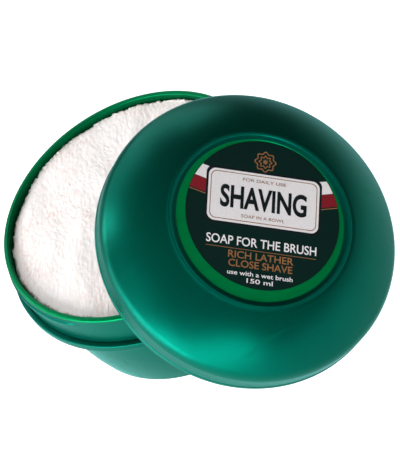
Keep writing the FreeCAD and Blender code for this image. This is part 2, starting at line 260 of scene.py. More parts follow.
def mesh_from(name: str, points: Array, faces: list[list[int]]) -> Piece:
    """Make a smooth-shaded object with outward faces from points and faces.

    The signed volume is a sixth of the sum, over the triangles, of each corner's dot product
    with the cross product of the other two; a negative one means that the faces point inwards.

    Args:
        name: Name of the piece.
        points: Rows of x, y and z.
        faces: Corner numbers of each face.

    Returns:
        The new object, in the scene and at the origin.
    """
    mesh = bpy.data.meshes.new(name)
    mesh.from_pydata(points.tolist(), [], faces)
    mesh.calc_loop_triangles()
    corners = np.empty(len(mesh.loop_triangles) * 3, dtype=np.int32)
    mesh.loop_triangles.foreach_get("vertices", corners)
    first, second, third = np.moveaxis(points[corners.reshape(-1, 3)], 1, 0)
    volume = float(np.sum(first * np.cross(second, third))) / 6.0
    if volume < 0.0:
        mesh.flip_normals()
    mesh.polygons.foreach_set("use_smooth", np.ones(len(mesh.polygons), dtype=bool))
    mesh.set_sharp_from_angle(angle=SHARP_ANGLE)
    mesh.update()
    piece = bpy.data.objects.new(name, mesh)
    bpy.context.scene.collection.objects.link(piece)
    return piece


def ring_faces(rings: int, around: int, first: int, looped: bool) -> list[list[int]]:
    """Quads between neighbouring rings of points.

    Args:
        rings: Number of rings.
        around: Points in each ring.
        first: Number of the first ring's first point.
        looped: Whether the last ring joins the first.

    Returns:
        Four corner numbers for each quad.
    """
    rows = rings if looped else rings - 1
    ring, spot = np.meshgrid(np.arange(rows), np.arange(around), indexing="ij")
    beside = (spot + 1) % around
    above = (ring + 1) % rings
    quads = [ring * around + spot, ring * around + beside, above * around + beside, above * around + spot]
    return (np.stack(quads, axis=-1).reshape(-1, 4) + first).tolist()


def cap_faces(pole: int, ring_start: int, around: int, reverse: bool) -> list[list[int]]:
    """Triangles that close a ring onto one pole point.

    Args:
        pole: Number of the pole point.
        ring_start: Number of the ring's first point.
        around: Points in the ring.
        reverse: Whether the triangles run against the ring.

    Returns:
        Three corner numbers for each triangle.
    """
    spot = np.arange(around)
    beside = (spot + 1) % around
    order = [beside, spot] if reverse else [spot, beside]
    corners = [np.full(around, pole), order[0] + ring_start, order[1] + ring_start]
    return np.stack(corners, axis=-1).tolist()


def ring_mesh(name: str, rings: Array, capped: bool) -> Piece:
    """Join rings of points into one closed surface.

    Each quad spans two neighbouring rings and two neighbouring points. With caps, the first and
    last ring are one pole point each; without, the last ring joins the first.

    Args:
        name: Name of the piece.
        rings: Points numbered by ring, then by place round the ring.
        capped: Whether the surface ends in two poles.

    Returns:
        The new object.
    """
    count, around = rings.shape[:2]
    if not capped:
        return mesh_from(name, rings.reshape(-1, 3), ring_faces(count, around, 0, True))
    body = rings[1:-1].reshape(-1, 3)
    points = np.concatenate([rings[0, :1], body, rings[-1, :1]])
    last_ring = 1 + (count - 3) * around
    faces = ring_faces(count - 2, around, 1, False)
    faces += cap_faces(0, 1, around, True)
    faces += cap_faces(len(points) - 1, last_ring, around, False)
    return mesh_from(name, points, faces)


def turned(section: Array, angles: Array, relief: Optional[Relief] = None) -> Array:
    """Carry an outline round the axis: x is radius times cosine, y is radius times sine.

    Args:
        section: Rows of radius and height.
        angles: Angle of each point of a ring.
        relief: Gives how far each point moves out, from its angle, radius and height.

    Returns:
        Rings of points.
    """
    radius = np.repeat(section[:, :1], len(angles), axis=1)
    height = np.repeat(section[:, 1:], len(angles), axis=1)
    if relief is not None:
        radius = radius + relief(np.broadcast_to(angles, radius.shape), radius, height)
    return np.concatenate([polar(radius, angles), height[..., None]], axis=-1)


def plate(name: str, edge: Array, level: float, thickness: float) -> Piece:
    """Make a thin solid plate from an outline round its own middle.

    Args:
        name: Name of the piece.
        edge: The outline, as rows of x and y.
        level: Level of the plate's bottom.
        thickness: Height of its side.

    Returns:
        The new object.
    """
    low = np.column_stack([edge, np.full(len(edge), level)])
    high = np.column_stack([edge, np.full(len(edge), level + thickness)])
    middle = edge.mean(axis=0)
    bottom = np.broadcast_to([middle[0], middle[1], level], low.shape)
    top = np.broadcast_to([middle[0], middle[1], level + thickness], low.shape)
    return ring_mesh(name, np.stack([bottom, low, high, top]), capped=True)


def frame_plate(name: str, outer: Array, inner: Array, level: float, thickness: float) -> Piece:
    """Make a thin plate between two outlines with the same number of points.

    Args:
        name: Name of the piece.
        outer: The outline outside, as rows of x and y.
        inner: The outline of the hole.
        level: Level of the plate's bottom.
        thickness: Height of its sides.

    Returns:
        The new object.
    """
    levels = [(inner, level), (outer, level), (outer, level + thickness), (inner, level + thickness)]
    rings = [np.column_stack([edge, np.full(len(edge), height)]) for edge, height in levels]
    return ring_mesh(name, np.stack(rings), capped=False)


def points_of(piece: Piece) -> Array:
    """Read the points of a piece's mesh.

    Args:
        piece: Any object with a mesh.

    Returns:
        Rows of x, y and z.
    """
    flat = np.empty(len(piece.data.vertices) * 3, dtype=np.float32)
    piece.data.vertices.foreach_get("co", flat)
    return flat.reshape(-1, 3).astype(float)


def moved(piece: Piece, change: Callable[[Array], Array]) -> Piece:
    """Put the points of a piece's mesh through a change of place.

    Args:
        piece: The piece, which is changed.
        change: Gives the new points from the old ones.

    Returns:
        The same piece.
    """
    points = change(points_of(piece))
    piece.data.vertices.foreach_set("co", points.astype(np.float32).ravel())
    piece.data.update()
    return piece


# ---------------------------------------------------------------- seeded roughness

class Unevenness:
    """A square sheet of seeded random height with chosen grain, read at any place.

    White noise is filtered by a bell curve over its spatial frequencies, with one length along
    the grain and another across it, and brought to a spread of one.
    """

    def __init__(self, seed: int, width: float, along: float, across: float, grain: float = 0.0,
                 cells: int = 512) -> None:
        """Make the sheet.

        Args:
            seed: Seed of the random draw.
            width: Side of the sheet, after which it repeats.
            along: Length of a mark along the grain.
            across: Length of a mark across the grain.
            grain: Direction of the grain, in radians from X.
            cells: Samples along each side.
        """
        draw = np.random.default_rng(seed).standard_normal((cells, cells))
        steps = np.fft.fftfreq(cells, width / cells)
        fx, fy = np.meshgrid(steps, steps, indexing="ij")
        with_grain = fx * math.cos(grain) + fy * math.sin(grain)
        over_grain = fy * math.cos(grain) - fx * math.sin(grain)
        bell = np.exp(-2.0 * ((with_grain * along) ** 2 + (over_grain * across) ** 2))
        sheet = np.fft.ifft2(np.fft.fft2(draw) * bell).real
        self.sheet = (sheet - sheet.mean()) / sheet.std()
        self.width = width
        self.cells = cells

    def at(self, x: Array, y: Array | float) -> Array:
        """Height at each place, blended between the four nearest samples.

        Args:
            x: Places along the sheet's first side.
            y: Places along its second side, or one place for all.

        Returns:
            The heights, with a spread of one.
        """
        across = np.mod(x / self.width * self.cells, self.cells)
        down = np.mod(y / self.width * self.cells, self.cells)
        left = np.floor(across).astype(int)
        top = np.floor(down).astype(int)
        part_x = across - left
        part_y = down - top
        left = left % self.cells
        top = top % self.cells
        right = (left + 1) % self.cells
        bottom = (top + 1) % self.cells
        upper = self.sheet[left, top] * (1 - part_x) + self.sheet[right, top] * part_x
        lower = self.sheet[left, bottom] * (1 - part_x) + self.sheet[right, bottom] * part_x
        return upper * (1 - part_y) + lower * part_y


# ---------------------------------------------------------------- shader building

def paint(red: int, green: int, blue: int) -> Colour:
    """Turn a display colour into the linear colour that shaders use, by the sRGB curve.

    Args:
        red: Red from 0 to 255.
        green: Green from 0 to 255.
        blue: Blue from 0 to 255.

    Returns:
        The linear colour, from 0 to 1.
    """
    shares = np.array([red, green, blue]) / 255.0
    linear = np.where(shares <= 0.04045, shares / 12.92, ((shares + 0.055) / 1.055) ** 2.4)
    return (float(linear[0]), float(linear[1]), float(linear[2]))


def rgba(colour: Colour) -> tuple[float, float, float, float]:
    """A colour with full cover."""
    return (*colour, 1.0)


class ShaderBench:
    """Short calls that add nodes to one material."""

    def __init__(self, name: str) -> None:
        """Start a material with a Principled shader and object coordinates.

        Args:
            name: Name of the material.
        """
        self.material = bpy.data.materials.new(name)
        self.material.use_nodes = True
        self.tree = self.material.node_tree
        self.tree.nodes.clear()
        output = self.tree.nodes.new("ShaderNodeOutputMaterial")
        self.shader = self.tree.nodes.new("ShaderNodeBsdfPrincipled")
        self.tree.links.new(self.shader.outputs["BSDF"], output.inputs["Surface"])
        self.place = self.tree.nodes.new("ShaderNodeTexCoord").outputs["Object"]

    def set(self, **values: object) -> None:
        """Set the shader's sockets; an underscore stands for a space in a socket's name."""
        for name, value in values.items():
            self.shader.inputs[name.replace("_", " ")].default_value = value

    def join(self, source: Socket, socket: str) -> None:
        """Link a value to one of the shader's sockets."""
        self.tree.links.new(source, self.shader.inputs[socket])

    def add(self, kind: str, output: Key, links: dict[Key, Socket], values: dict[Key, object],
            **settings: str) -> Socket:
        """Add a node.

        Args:
            kind: The node's type.
            output: Name or number of the output that is wanted.
            links: What to link to each of its inputs.
            values: Fixed values of other inputs.
            **settings: The node's own settings.

        Returns:
            The wanted output.
        """
        node = self.tree.nodes.new("ShaderNode" + kind)
        for name, setting in settings.items():
            setattr(node, name, setting)
        for key, value in values.items():
            node.inputs[key].default_value = value
        for key, source in links.items():
            self.tree.links.new(source, node.inputs[key])
        return node.outputs[output]

    def mapped(self, scale: Triple, turn: float) -> Socket:
        """Object coordinates turned about Z by an angle in radians and then scaled."""
        turned_place = self.add("Mapping", "Vector", {"Vector": self.place}, {"Rotation": (0.0, 0.0, turn)})
        return self.add("Mapping", "Vector", {"Vector": turned_place}, {"Scale": scale})

    def noise(self, scale: float, detail: float = 3.0, vector: Optional[Socket] = None) -> Socket:
        """Noise of a given number of marks in a metre."""
        values = {"Scale": scale, "Detail": detail}
        return self.add("TexNoise", "Fac", {"Vector": vector or self.place}, values)

    def cells(self, scale: float) -> Socket:
        """Distance to the nearest of a given number of cell centres in a metre."""
        return self.add("TexVoronoi", "Distance", {"Vector": self.place}, {"Scale": scale})

    def distance(self, centre: Triple) -> Socket:
        """Distance from a point, in metres."""
        return self.add("VectorMath", "Value", {0: self.place}, {1: centre}, operation="DISTANCE")

    def attribute(self, name: str) -> Socket:
        """A value stored at each point of the mesh."""
        return self.add("Attribute", "Fac", {}, {}, attribute_name=name)

    def spread(self, value: Socket, low: float, high: float, start: float, end: float) -> Socket:
        """Stretch the values from low to high onto start to end, and hold them there."""
        ranges = {"From Min": low, "From Max": high, "To Min": start, "To Max": end}
        return self.add("MapRange", "Result", {"Value": value}, ranges)

    def sum(self, one: Socket, other: Socket) -> Socket:
        """One value plus another."""
        return self.add("Math", "Value", {0: one, 1: other}, {}, operation="ADD")

    def product(self, one: Socket, other: Socket) -> Socket:
        """One value times another."""
        return self.add("Math", "Value", {0: one, 1: other}, {}, operation="MULTIPLY")

    def blend(self, factor: Socket, one: Socket | Colour, other: Socket | Colour) -> Socket:
        """A colour between two, each a fixed colour or another blend.

        Args:
            factor: 0 for the first colour and 1 for the second.
            one: First colour.
            other: Second colour.

        Returns:
            The colour socket.
        """
        links: dict[Key, Socket] = {"Factor": factor}
        values: dict[Key, object] = {}
        for key, colour in zip(MIX_COLOURS, (one, other)):
            if isinstance(colour, Socket):
                links[key] = colour
            else:
                values[key] = rgba(colour)
        return self.add("Mix", MIX_RESULT, links, values, data_type="RGBA")

    def bump(self, height: Socket, strength: float, distance: float) -> None:
        """Roughen the surface by a height, over what is already there.

        Args:
            height: The height, from 0 to 1.
            strength: Share of the effect.
            distance: What a height of 1 stands for, in metres.
        """
        links: dict[Key, Socket] = {"Height": height}
        before = self.shader.inputs["Normal"]
        if before.is_linked:
            links["Normal"] = before.links[0].from_socket
        self.join(self.add("Bump", "Normal", links, {"Strength": strength, "Distance": distance}), "Normal")


# ---------------------------------------------------------------- finishes

@dataclass(frozen=True)
class MouldedPlastic:
    """Satin injection-moulded polypropylene: orange peel, flow shading and fine scuffs.

    Part of the sheen takes the pigment's own colour, because it comes from just under the skin.
    """

    name: str
    colour: Colour
    flow_colour: Colour
    # Brighter green painted as the glow of light through thin walls.
    painted_glow_colour: Colour
    sheen_colour: Colour
    own_sheen: float = 0.6
    index: float = 1.27
    roughness: float = 0.32
    flow_scale: float = 26.0
    scuff_scale: float = 55.0
    scuff_turn: float = math.radians(35.0)
    grain_scale: float = 1400.0
    peel_scale: float = 420.0
    pore_scale: float = 3200.0

    def material(self) -> Material:
        """Build the plastic; the point attribute "thin" marks where a brighter green is painted as glow of
        light through thin plastic.

        Returns:
            The new material.
        """
        bench = ShaderBench(self.name)
        flow = bench.spread(bench.noise(self.flow_scale, 4.0), 0.35, 0.65, 0.0, 1.0)
        body = bench.blend(flow, self.colour, self.flow_colour)
        # Painted glow: a brighter green where light would shine through thin plastic.
        bench.join(bench.blend(bench.attribute("thin"), body, self.painted_glow_colour), "Base Color")
        fine = bench.noise(self.grain_scale, 2.0)
        scuffs = bench.noise(self.scuff_scale, 6.0, bench.mapped((1.0, 14.0, 3.0), self.scuff_turn))
        scuffed = bench.spread(scuffs, 0.58, 0.72, 0.0, 0.1)
        grain = bench.spread(fine, 0.3, 0.7, self.roughness - 0.025, self.roughness + 0.03)
        bench.join(bench.sum(grain, scuffed), "Roughness")
        bench.bump(bench.noise(self.peel_scale, 2.0), 0.07, 0.05 * MM)
        bench.bump(bench.noise(self.pore_scale, 1.0), 0.03, 0.012 * MM)
        bench.set(Metallic=self.own_sheen, Specular_Tint=rgba(self.sheen_colour), IOR=self.index)
        return bench.material


@dataclass(frozen=True)
class SoapFinish:
    """Dry white soap, shaved along one grain, with pinkish flecks and painted brownish shade along its edge.
    """

    name: str = "white_soap"
    white: Colour = paint(238, 233, 231)
    fleck: Colour = paint(226, 206, 200)
    # Colour of the painted shade along the soap's edge.
    painted_edge_shade: Colour = paint(168, 134, 104)
    stroke_scale: float = 420.0
    speck_scale: float = 900.0
    patch_scale: float = 55.0
    crumb_scale: float = 1500.0
    depth_colour: Colour = (0.9, 0.7, 0.6)

    def material(self) -> Material:
        """Build the soap; a point attribute marks where brownish shade is painted along its edge.

        Returns:
            The new material.
        """
        bench = ShaderBench(self.name)
        strokes = bench.noise(self.stroke_scale, 6.0, bench.mapped((1.0, 3.2, 1.0), -SOAP_GRAIN))
        specks = bench.noise(self.speck_scale, 4.0)
        patches = bench.noise(self.patch_scale)
        patchy = bench.spread(patches, 0.44, 0.62, 0.05, 0.8)
        fleck = bench.product(bench.spread(strokes, 0.44, 0.64, 0.0, 1.0), patchy)
        flecked = bench.blend(fleck, self.white, self.fleck)
        speckled = bench.blend(bench.spread(specks, 0.6, 0.78, 0.0, 0.4), flecked, self.fleck)
        # Painted shade: brownish along the soap's edge against the neck.
        bench.join(bench.blend(bench.attribute("painted_edge_shade"), speckled, self.painted_edge_shade), "Base Color")
        bench.join(bench.spread(specks, 0.3, 0.7, 0.72, 0.9), "Roughness")
        bench.bump(strokes, 0.24, 0.12 * MM)
        bench.bump(bench.noise(self.crumb_scale, 5.0), 0.35, 0.08 * MM)
        bench.set(Subsurface_Weight=0.25, Subsurface_Radius=self.depth_colour, Subsurface_Scale=1.2 * MM)
        return bench.material


@dataclass(frozen=True)
class FoamFinish:
    """White closed-cell foam with small cells and a slight yellowing."""

    name: str = "seal_foam"
    colour: Colour = paint(226, 226, 216)
    aged: Colour = paint(208, 204, 186)
    ageing_scale: float = 120.0
    cell_scale: float = 2600.0
    gloss_scale: float = 900.0

    def material(self) -> Material:
        """Build the foam.

        Returns:
            The new material.
        """
        bench = ShaderBench(self.name)
        ageing = bench.spread(bench.noise(self.ageing_scale), 0.4, 0.7, 0.0, 1.0)
        bench.join(bench.blend(ageing, self.colour, self.aged), "Base Color")
        bench.bump(bench.cells(self.cell_scale), 0.5, 0.1 * MM)
        bench.join(bench.spread(bench.noise(self.gloss_scale), 0.3, 0.7, 0.75, 0.92), "Roughness")
        return bench.material


@dataclass(frozen=True)
class Ink:
    """Printed ink on gloss film: even colour with a little screen grain."""

    name: str
    colour: Colour
    worn: Colour
    roughness: float = 0.3
    screen_scale: float = 2200.0
    gloss_scale: float = 350.0
    film_scale: float = 1500.0

    def material(self) -> Material:
        """Build the ink.

        Returns:
            The new material.
        """
        bench = ShaderBench(self.name)
        grain = bench.spread(bench.noise(self.screen_scale), 0.45, 0.75, 0.0, 0.55)
        bench.join(bench.blend(grain, self.colour, self.worn), "Base Color")
        sheen = bench.noise(self.gloss_scale)
        gloss = bench.spread(sheen, 0.3, 0.7, self.roughness - 0.04, self.roughness + 0.05)
        bench.join(gloss, "Roughness")
        bench.bump(bench.noise(self.film_scale, 2.0), 0.08, 0.02 * MM)
        bench.set(Specular_IOR_Level=0.07)
        return bench.material


@dataclass(frozen=True)
class PaperFinish:
    """Uncoated label paper with visible fibres."""

    name: str = "base_paper"
    colour: Colour = paint(236, 235, 226)
    fibre: Colour = paint(216, 212, 198)
    fibre_scale: float = 420.0
    fibre_turn: float = 0.4

    def material(self) -> Material:
        """Build the paper.

        Returns:
            The new material.
        """
        bench = ShaderBench(self.name)
        fibres = bench.noise(self.fibre_scale, 6.0, bench.mapped((1.0, 3.0, 1.0), self.fibre_turn))
        seen = bench.spread(fibres, 0.5, 0.7, 0.0, 1.0)
        bench.join(bench.blend(seen, self.colour, self.fibre), "Base Color")
        bench.bump(fibres, 0.3, 0.05 * MM)
        bench.set(Roughness=0.8)
        return bench.material


@dataclass(frozen=True)
class TableFinish:
    """Smooth pale table with a soft pool of painted glow where the object stands."""

    name: str = "pale_table"
    colour: Colour = (0.62, 0.62, 0.62)
    pool_centre: Triple = (-0.07, -0.09, 0.0)
    pool_inner: float = 0.17
    pool_outer: float = 0.34
    glow_inside: float = 1.0
    glow_outside: float = 0.12

    def material(self) -> Material:
        """Build the table's surface.

        Returns:
            The new material.
        """
        bench = ShaderBench(self.name)
        bench.set(Base_Color=rgba(self.colour), Roughness=0.5, Specular_IOR_Level=0.3)
        # Painted light: the table glows by itself, strongest in a pool round the object.
        bench.set(Emission_Color=(1.0, 1.0, 1.0, 1.0))
        away = bench.distance(self.pool_centre)
        glow = bench.spread(away, self.pool_inner, self.pool_outer, self.glow_inside, self.glow_outside)
        bench.join(glow, "Emission Strength")
        return bench.material


# ---------------------------------------------------------------- places and pieces

@dataclass(frozen=True)
class LeanFrame:
    """The lid's own frame: its rim plane's middle, tipped about X towards -Y."""

    origin: Triple
    tilt: float

    @classmethod
    def from_joint(cls) -> "LeanFrame":
        """Read the frame from the joint that turns the lid about its own axis.

        Returns:
            The lid's frame at rest.
        """
        joint = next(item for item in frame["joints"] if item["name"] == "lid_turn")
        axis = joint["axis"]
        return cls(tuple(joint["pos_m"]), math.atan2(-axis[1], axis[2]))

    def to_table(self, points: Array) -> Array:
        """Put points of the lid's frame in the table's frame: a turn about X and then a move.

        Args:
            points: Rows of x, y and z in the lid's frame.

        Returns:
            The same rows in the table's frame.
        """
        sine = math.sin(self.tilt)
        cosine = math.cos(self.tilt)
        turn = np.array([[1.0, 0.0, 0.0], [0.0, cosine, -sine], [0.0, sine, cosine]])
        return points @ turn.T + np.array(self.origin)

    def extents(self, node: str) -> Triple:
        """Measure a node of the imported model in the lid's frame.

        Args:
            node: Name of the node.

        Returns:
            Its greatest radius and its lowest and highest level.
        """
        offset = points_of(frame["nodes"][node]) - np.array(self.origin)
        sine = math.sin(self.tilt)
        cosine = math.cos(self.tilt)
        across = offset[:, 1] * cosine + offset[:, 2] * sine
        level = offset[:, 2] * cosine - offset[:, 1] * sine
        return (float(np.hypot(offset[:, 0], across).max()), float(level.min()), float(level.max()))


def dress(piece: Piece, material: Material, body: str, nodes: Sequence[str] = ()) -> Piece:
    """Give a piece its material, its body and the nodes it stands for.

    Args:
        piece: The finished piece.
        material: What it is made of.
        body: Body that carries it.
        nodes: Model nodes that it replaces.

    Returns:
        The same piece.
    """
    piece.data.materials.clear()
    piece.data.materials.append(material)
    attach(piece, body)
    if nodes:
        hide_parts(*nodes)
    LOG.info("%-22s rides on %-5s %7d faces", piece.name, body, len(piece.data.polygons))
    return piece


def mark(piece: Piece, name: str, values: Array) -> None:
    """Store one value at each point of a piece's mesh."""
    layer = piece.data.attributes.new(name, "FLOAT", "POINT")
    layer.data.foreach_set("value", values.astype(np.float32))


@dataclass(frozen=True)
class Thread:
    """One helical ridge on a wall."""

    start: float
    start_height: float
    depth: float = 0.7 * MM
    pitch: float = 5.0 * MM
    turns: float = 0.8
    root_height: float = 2.0 * MM
    crest_height: float = 0.7 * MM
    run_out: float = math.radians(9.0)

    def rise(self, angle: Array, height: Array) -> Array:
        """How far the ridge stands off its wall.

        The ridge's centre line climbs by the pitch in each turn. Across it the section is a
        trapezium with eased shoulders, and at both ends it fades over the run-out.

        Args:
            angle: Angle round the axis.
            height: Height up the wall.

        Returns:
            The ridge's rise at each place.
        """
        travel = np.mod(angle - self.start, FULL_TURN)
        centre = self.start_height + self.pitch * travel / (FULL_TURN)
        slope = (self.root_height - self.crest_height) / 2
        section = (self.root_height / 2 - np.abs(height - centre)) / slope
        span = FULL_TURN * self.turns
        ends = smooth_step(travel / self.run_out) * smooth_step((span - travel) / self.run_out)
        return self.depth * smooth_step(section) * ends

    def on_wall(self, low: float, high: float, floor: float, side: int) -> Relief:
        """Choose the wall of a turned outline that carries the ridge.

        Args:
            low: Radius that the wall lies beyond.
            high: Radius that it lies within.
            floor: Level that it lies above.
            side: 1 for a ridge outwards and -1 for one inwards.

        Returns:
            A relief that moves the wall's points and no others.
        """
        def relief(angle: Array, radius: Array, height: Array) -> Array:
            """The ridge's rise on the wall, and 0 elsewhere."""
            chosen = (radius > low) & (radius < high) & (height > floor)
            return np.where(chosen, side * self.rise(angle, height), 0.0)

        return relief


# ---------------------------------------------------------------- the jar

@dataclass
class Jar:
    """The bowl on the table, the threaded cup welded into it and the label under its foot."""

    height: float
    flange_radius: float
    neck_height: float = 12.2 * MM
    neck_wall: float = 2.0 * MM
    rim_round: float = 0.9 * MM
    rim_inner_round: float = 0.45 * MM
    flange_step: float = 2.3 * MM
    flange_thickness: float = 3.0 * MM
    flange_round: float = 0.5 * MM
    groove_width: float = 0.55 * MM
    groove_depth: float = 0.5 * MM
    waist_inset: float = 4.2 * MM
    waist_height: float = 25.8 * MM
    foot_inset: float = 4.2 * MM
    foot_width: float = 2.6 * MM
    foot_round: float = 0.7 * MM
    foot_recess: float = 2.2 * MM
    base_thickness: float = 1.8 * MM
    bowl_wall: float = 1.8 * MM
    side_bulge: float = 100.0 * MM
    cove_radius: float = 7.0 * MM
    bowl_top_width: float = 2.6 * MM
    socket_inset: float = 1.9 * MM
    socket_depth: float = 1.3 * MM
    weld_clearance: float = 0.15 * MM
    cup_gap: float = 0.5 * MM
    cup_wall: float = 1.6 * MM
    cup_floor: float = 23.0 * MM
    cup_corner: float = 4.0 * MM
    cup_cone: float = 5.2 * MM
    thread_start: float = math.radians(257.0)
    thread_rise: float = 5.1 * MM
    label_margin: float = 5.0 * MM
    label_thickness: float = 0.12 * MM
    bowl_segments: int = 300
    cup_segments: int = 360
    thread_step: float = 0.14 * MM
    label_segments: int = 160
    # Share of the painted glow on the rim and inside the neck.
    painted_glow_share: float = 0.7

    @classmethod
    def from_frame(cls) -> "Jar":
        """Read the jar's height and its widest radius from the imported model."""
        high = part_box("inner_cup")[1]
        return cls(height=high.z, flange_radius=high.x)

    @property
    def neck_radius(self) -> float:
        """Outer radius of the threaded neck."""
        return self.flange_radius - self.flange_step

    @property
    def shoulder(self) -> float:
        """Level of the flange's top."""
        return self.height - self.neck_height

    @property
    def underside(self) -> float:
        """Level of the flange's underside."""
        return self.shoulder - self.flange_thickness

    @property
    def waist_radius(self) -> float:
        """Outer radius of the bowl under its cove."""
        return self.neck_radius - self.waist_inset

    @property
    def cup_radius(self) -> float:
        """Inner radius of the cup."""
        return self.waist_radius - self.bowl_wall - self.cup_gap - self.cup_wall

    @property
    def cone_top_radius(self) -> float:
        """Inner radius of the cup's cone at the flange's underside."""
        return self.neck_radius - self.socket_inset - self.weld_clearance - self.cup_wall

    @property
    def foot_hole(self) -> float:
        """Radius of the recess under the foot."""
        return self.waist_radius - self.foot_inset - self.foot_width - self.foot_recess / 4

    def make_bowl(self, plastic: Material) -> None:
        """Turn the bowl: foot ring, bulging side, concave cove and the hidden inner wall.

        Args:
            plastic: What the bowl is made of.
        """
        foot = self.waist_radius - self.foot_inset
        top = self.neck_radius - self.socket_inset + self.bowl_top_width
        overhang = self.waist_radius + self.cove_radius - top
        cove_rise = math.sqrt(self.cove_radius ** 2 - overhang ** 2)
        socket = self.neck_radius - self.socket_inset
        inner_floor = self.foot_recess + self.base_thickness
        section = outline([
            Corner(0.0, self.foot_recess),
            Corner(self.foot_hole, self.foot_recess, fillet=0.5 * MM),
            Corner(foot - self.foot_width, 0.0, fillet=0.4 * MM),
            Corner(foot, 0.0, fillet=self.foot_round),
            Corner(self.waist_radius, self.waist_height, bend=self.side_bulge),
            Corner(top, self.waist_height + cove_rise, bend=self.cove_radius, turn=Turn.RIGHT,
                   fillet=0.3 * MM),
            Corner(top, self.underside, fillet=0.1 * MM),
            Corner(socket, self.underside),
            Corner(socket, self.underside - self.socket_depth),
            Corner(self.waist_radius - self.bowl_wall, self.waist_height + self.bowl_wall),
            Corner(foot - self.bowl_wall + self.base_thickness / 2, inner_floor, bend=self.side_bulge,
                   turn=Turn.RIGHT),
            Corner(0.0, inner_floor),
        ])
        piece = ring_mesh("bowl_body", turned(section, even_angles(self.bowl_segments)), capped=True)
        dress(piece, plastic, "jar", ["outer_bowl"])

    def make_cup(self, plastic: Material) -> None:
        """Turn the cup with its flange and neck, and raise the thread on the neck.

        Args:
            plastic: What the cup is made of.
        """
        cup = self.cup_radius
        inner_neck = self.neck_radius - self.neck_wall
        spigot = self.neck_radius - self.socket_inset - self.weld_clearance
        outer_corner = self.cup_corner + self.cup_wall
        groove = self.shoulder - self.groove_depth
        section = outline([
            Corner(0.0, self.cup_floor - self.cup_wall),
            Corner(cup + self.cup_wall, self.cup_floor - self.cup_wall, fillet=outer_corner),
            Corner(cup + self.cup_wall, self.underside - self.cup_cone - self.cup_wall / 2),
            Corner(spigot, self.underside - self.socket_depth + self.weld_clearance),
            Corner(spigot, self.underside),
            Corner(self.flange_radius, self.underside, fillet=self.flange_round),
            Corner(self.flange_radius, self.shoulder, fillet=self.flange_round),
            Corner(self.neck_radius + self.groove_width, self.shoulder, fillet=0.2 * MM),
            Corner(self.neck_radius + self.groove_width * 0.8, groove, fillet=0.1 * MM),
            Corner(self.neck_radius, groove),
            Corner(self.neck_radius, self.height, fillet=self.rim_round, step=self.thread_step),
            Corner(inner_neck, self.height, fillet=self.rim_inner_round),
            Corner(inner_neck, self.shoulder, fillet=1.0 * MM),
            Corner(self.cone_top_radius, self.underside, fillet=1.0 * MM),
            Corner(cup, self.underside - self.cup_cone, fillet=1.5 * MM),
            Corner(cup, self.cup_floor, fillet=self.cup_corner),
            Corner(0.0, self.cup_floor),
        ])
        thread = Thread(self.thread_start, self.shoulder + self.thread_rise)
        wall = self.neck_radius - WALL_TOLERANCE
        relief = thread.on_wall(wall, self.flange_radius, self.shoulder, 1)
        rings = turned(section, even_angles(self.cup_segments), relief)
        piece = ring_mesh("threaded_cup", rings, capped=True)
        # Painted glow: the rim's top and the inside of the neck get the brighter green.
        points = points_of(piece)
        inside = np.hypot(points[:, 0], points[:, 1]) < wall
        glow = smooth_step((points[:, 2] - self.shoulder) / self.rim_round)
        mark(piece, "thin", self.painted_glow_share * inside * glow)
        dress(piece, plastic, "jar", ["inner_cup"])

    def make_base_label(self, paper: Material, ink: Material) -> None:
        """Lay the paper label in the foot's recess and print a ring and some plain lines on it.

        Args:
            paper: What the label is made of.
            ink: What its ring and words are printed in.
        """
        radius = self.foot_hole - self.label_margin
        angles = even_angles(self.label_segments)
        level = self.foot_recess - self.label_thickness
        label = plate("base_label_paper", polar(radius, angles), level, self.label_thickness)
        dress(label, paper, "jar", ["base_label"])
        low = level - PRINT_THICKNESS
        outer = polar(radius - 1.6 * MM, angles)
        inner = polar(radius - 1.9 * MM, angles)
        ring = frame_plate("base_label_ring", outer, inner, low, PRINT_THICKNESS)
        dress(ring, ink, "jar")
        for index, (letters, up) in enumerate(BASE_LINES):
            text = letters.mesh("base_label_line_%d" % (index + 1))
            moved(text, lambda points, up=up: np.column_stack([
                points[:, 0], -(points[:, 1] + up), low + PRINT_THICKNESS - points[:, 2]]))
            dress(text, ink, "jar")


# ---------------------------------------------------------------- the soap

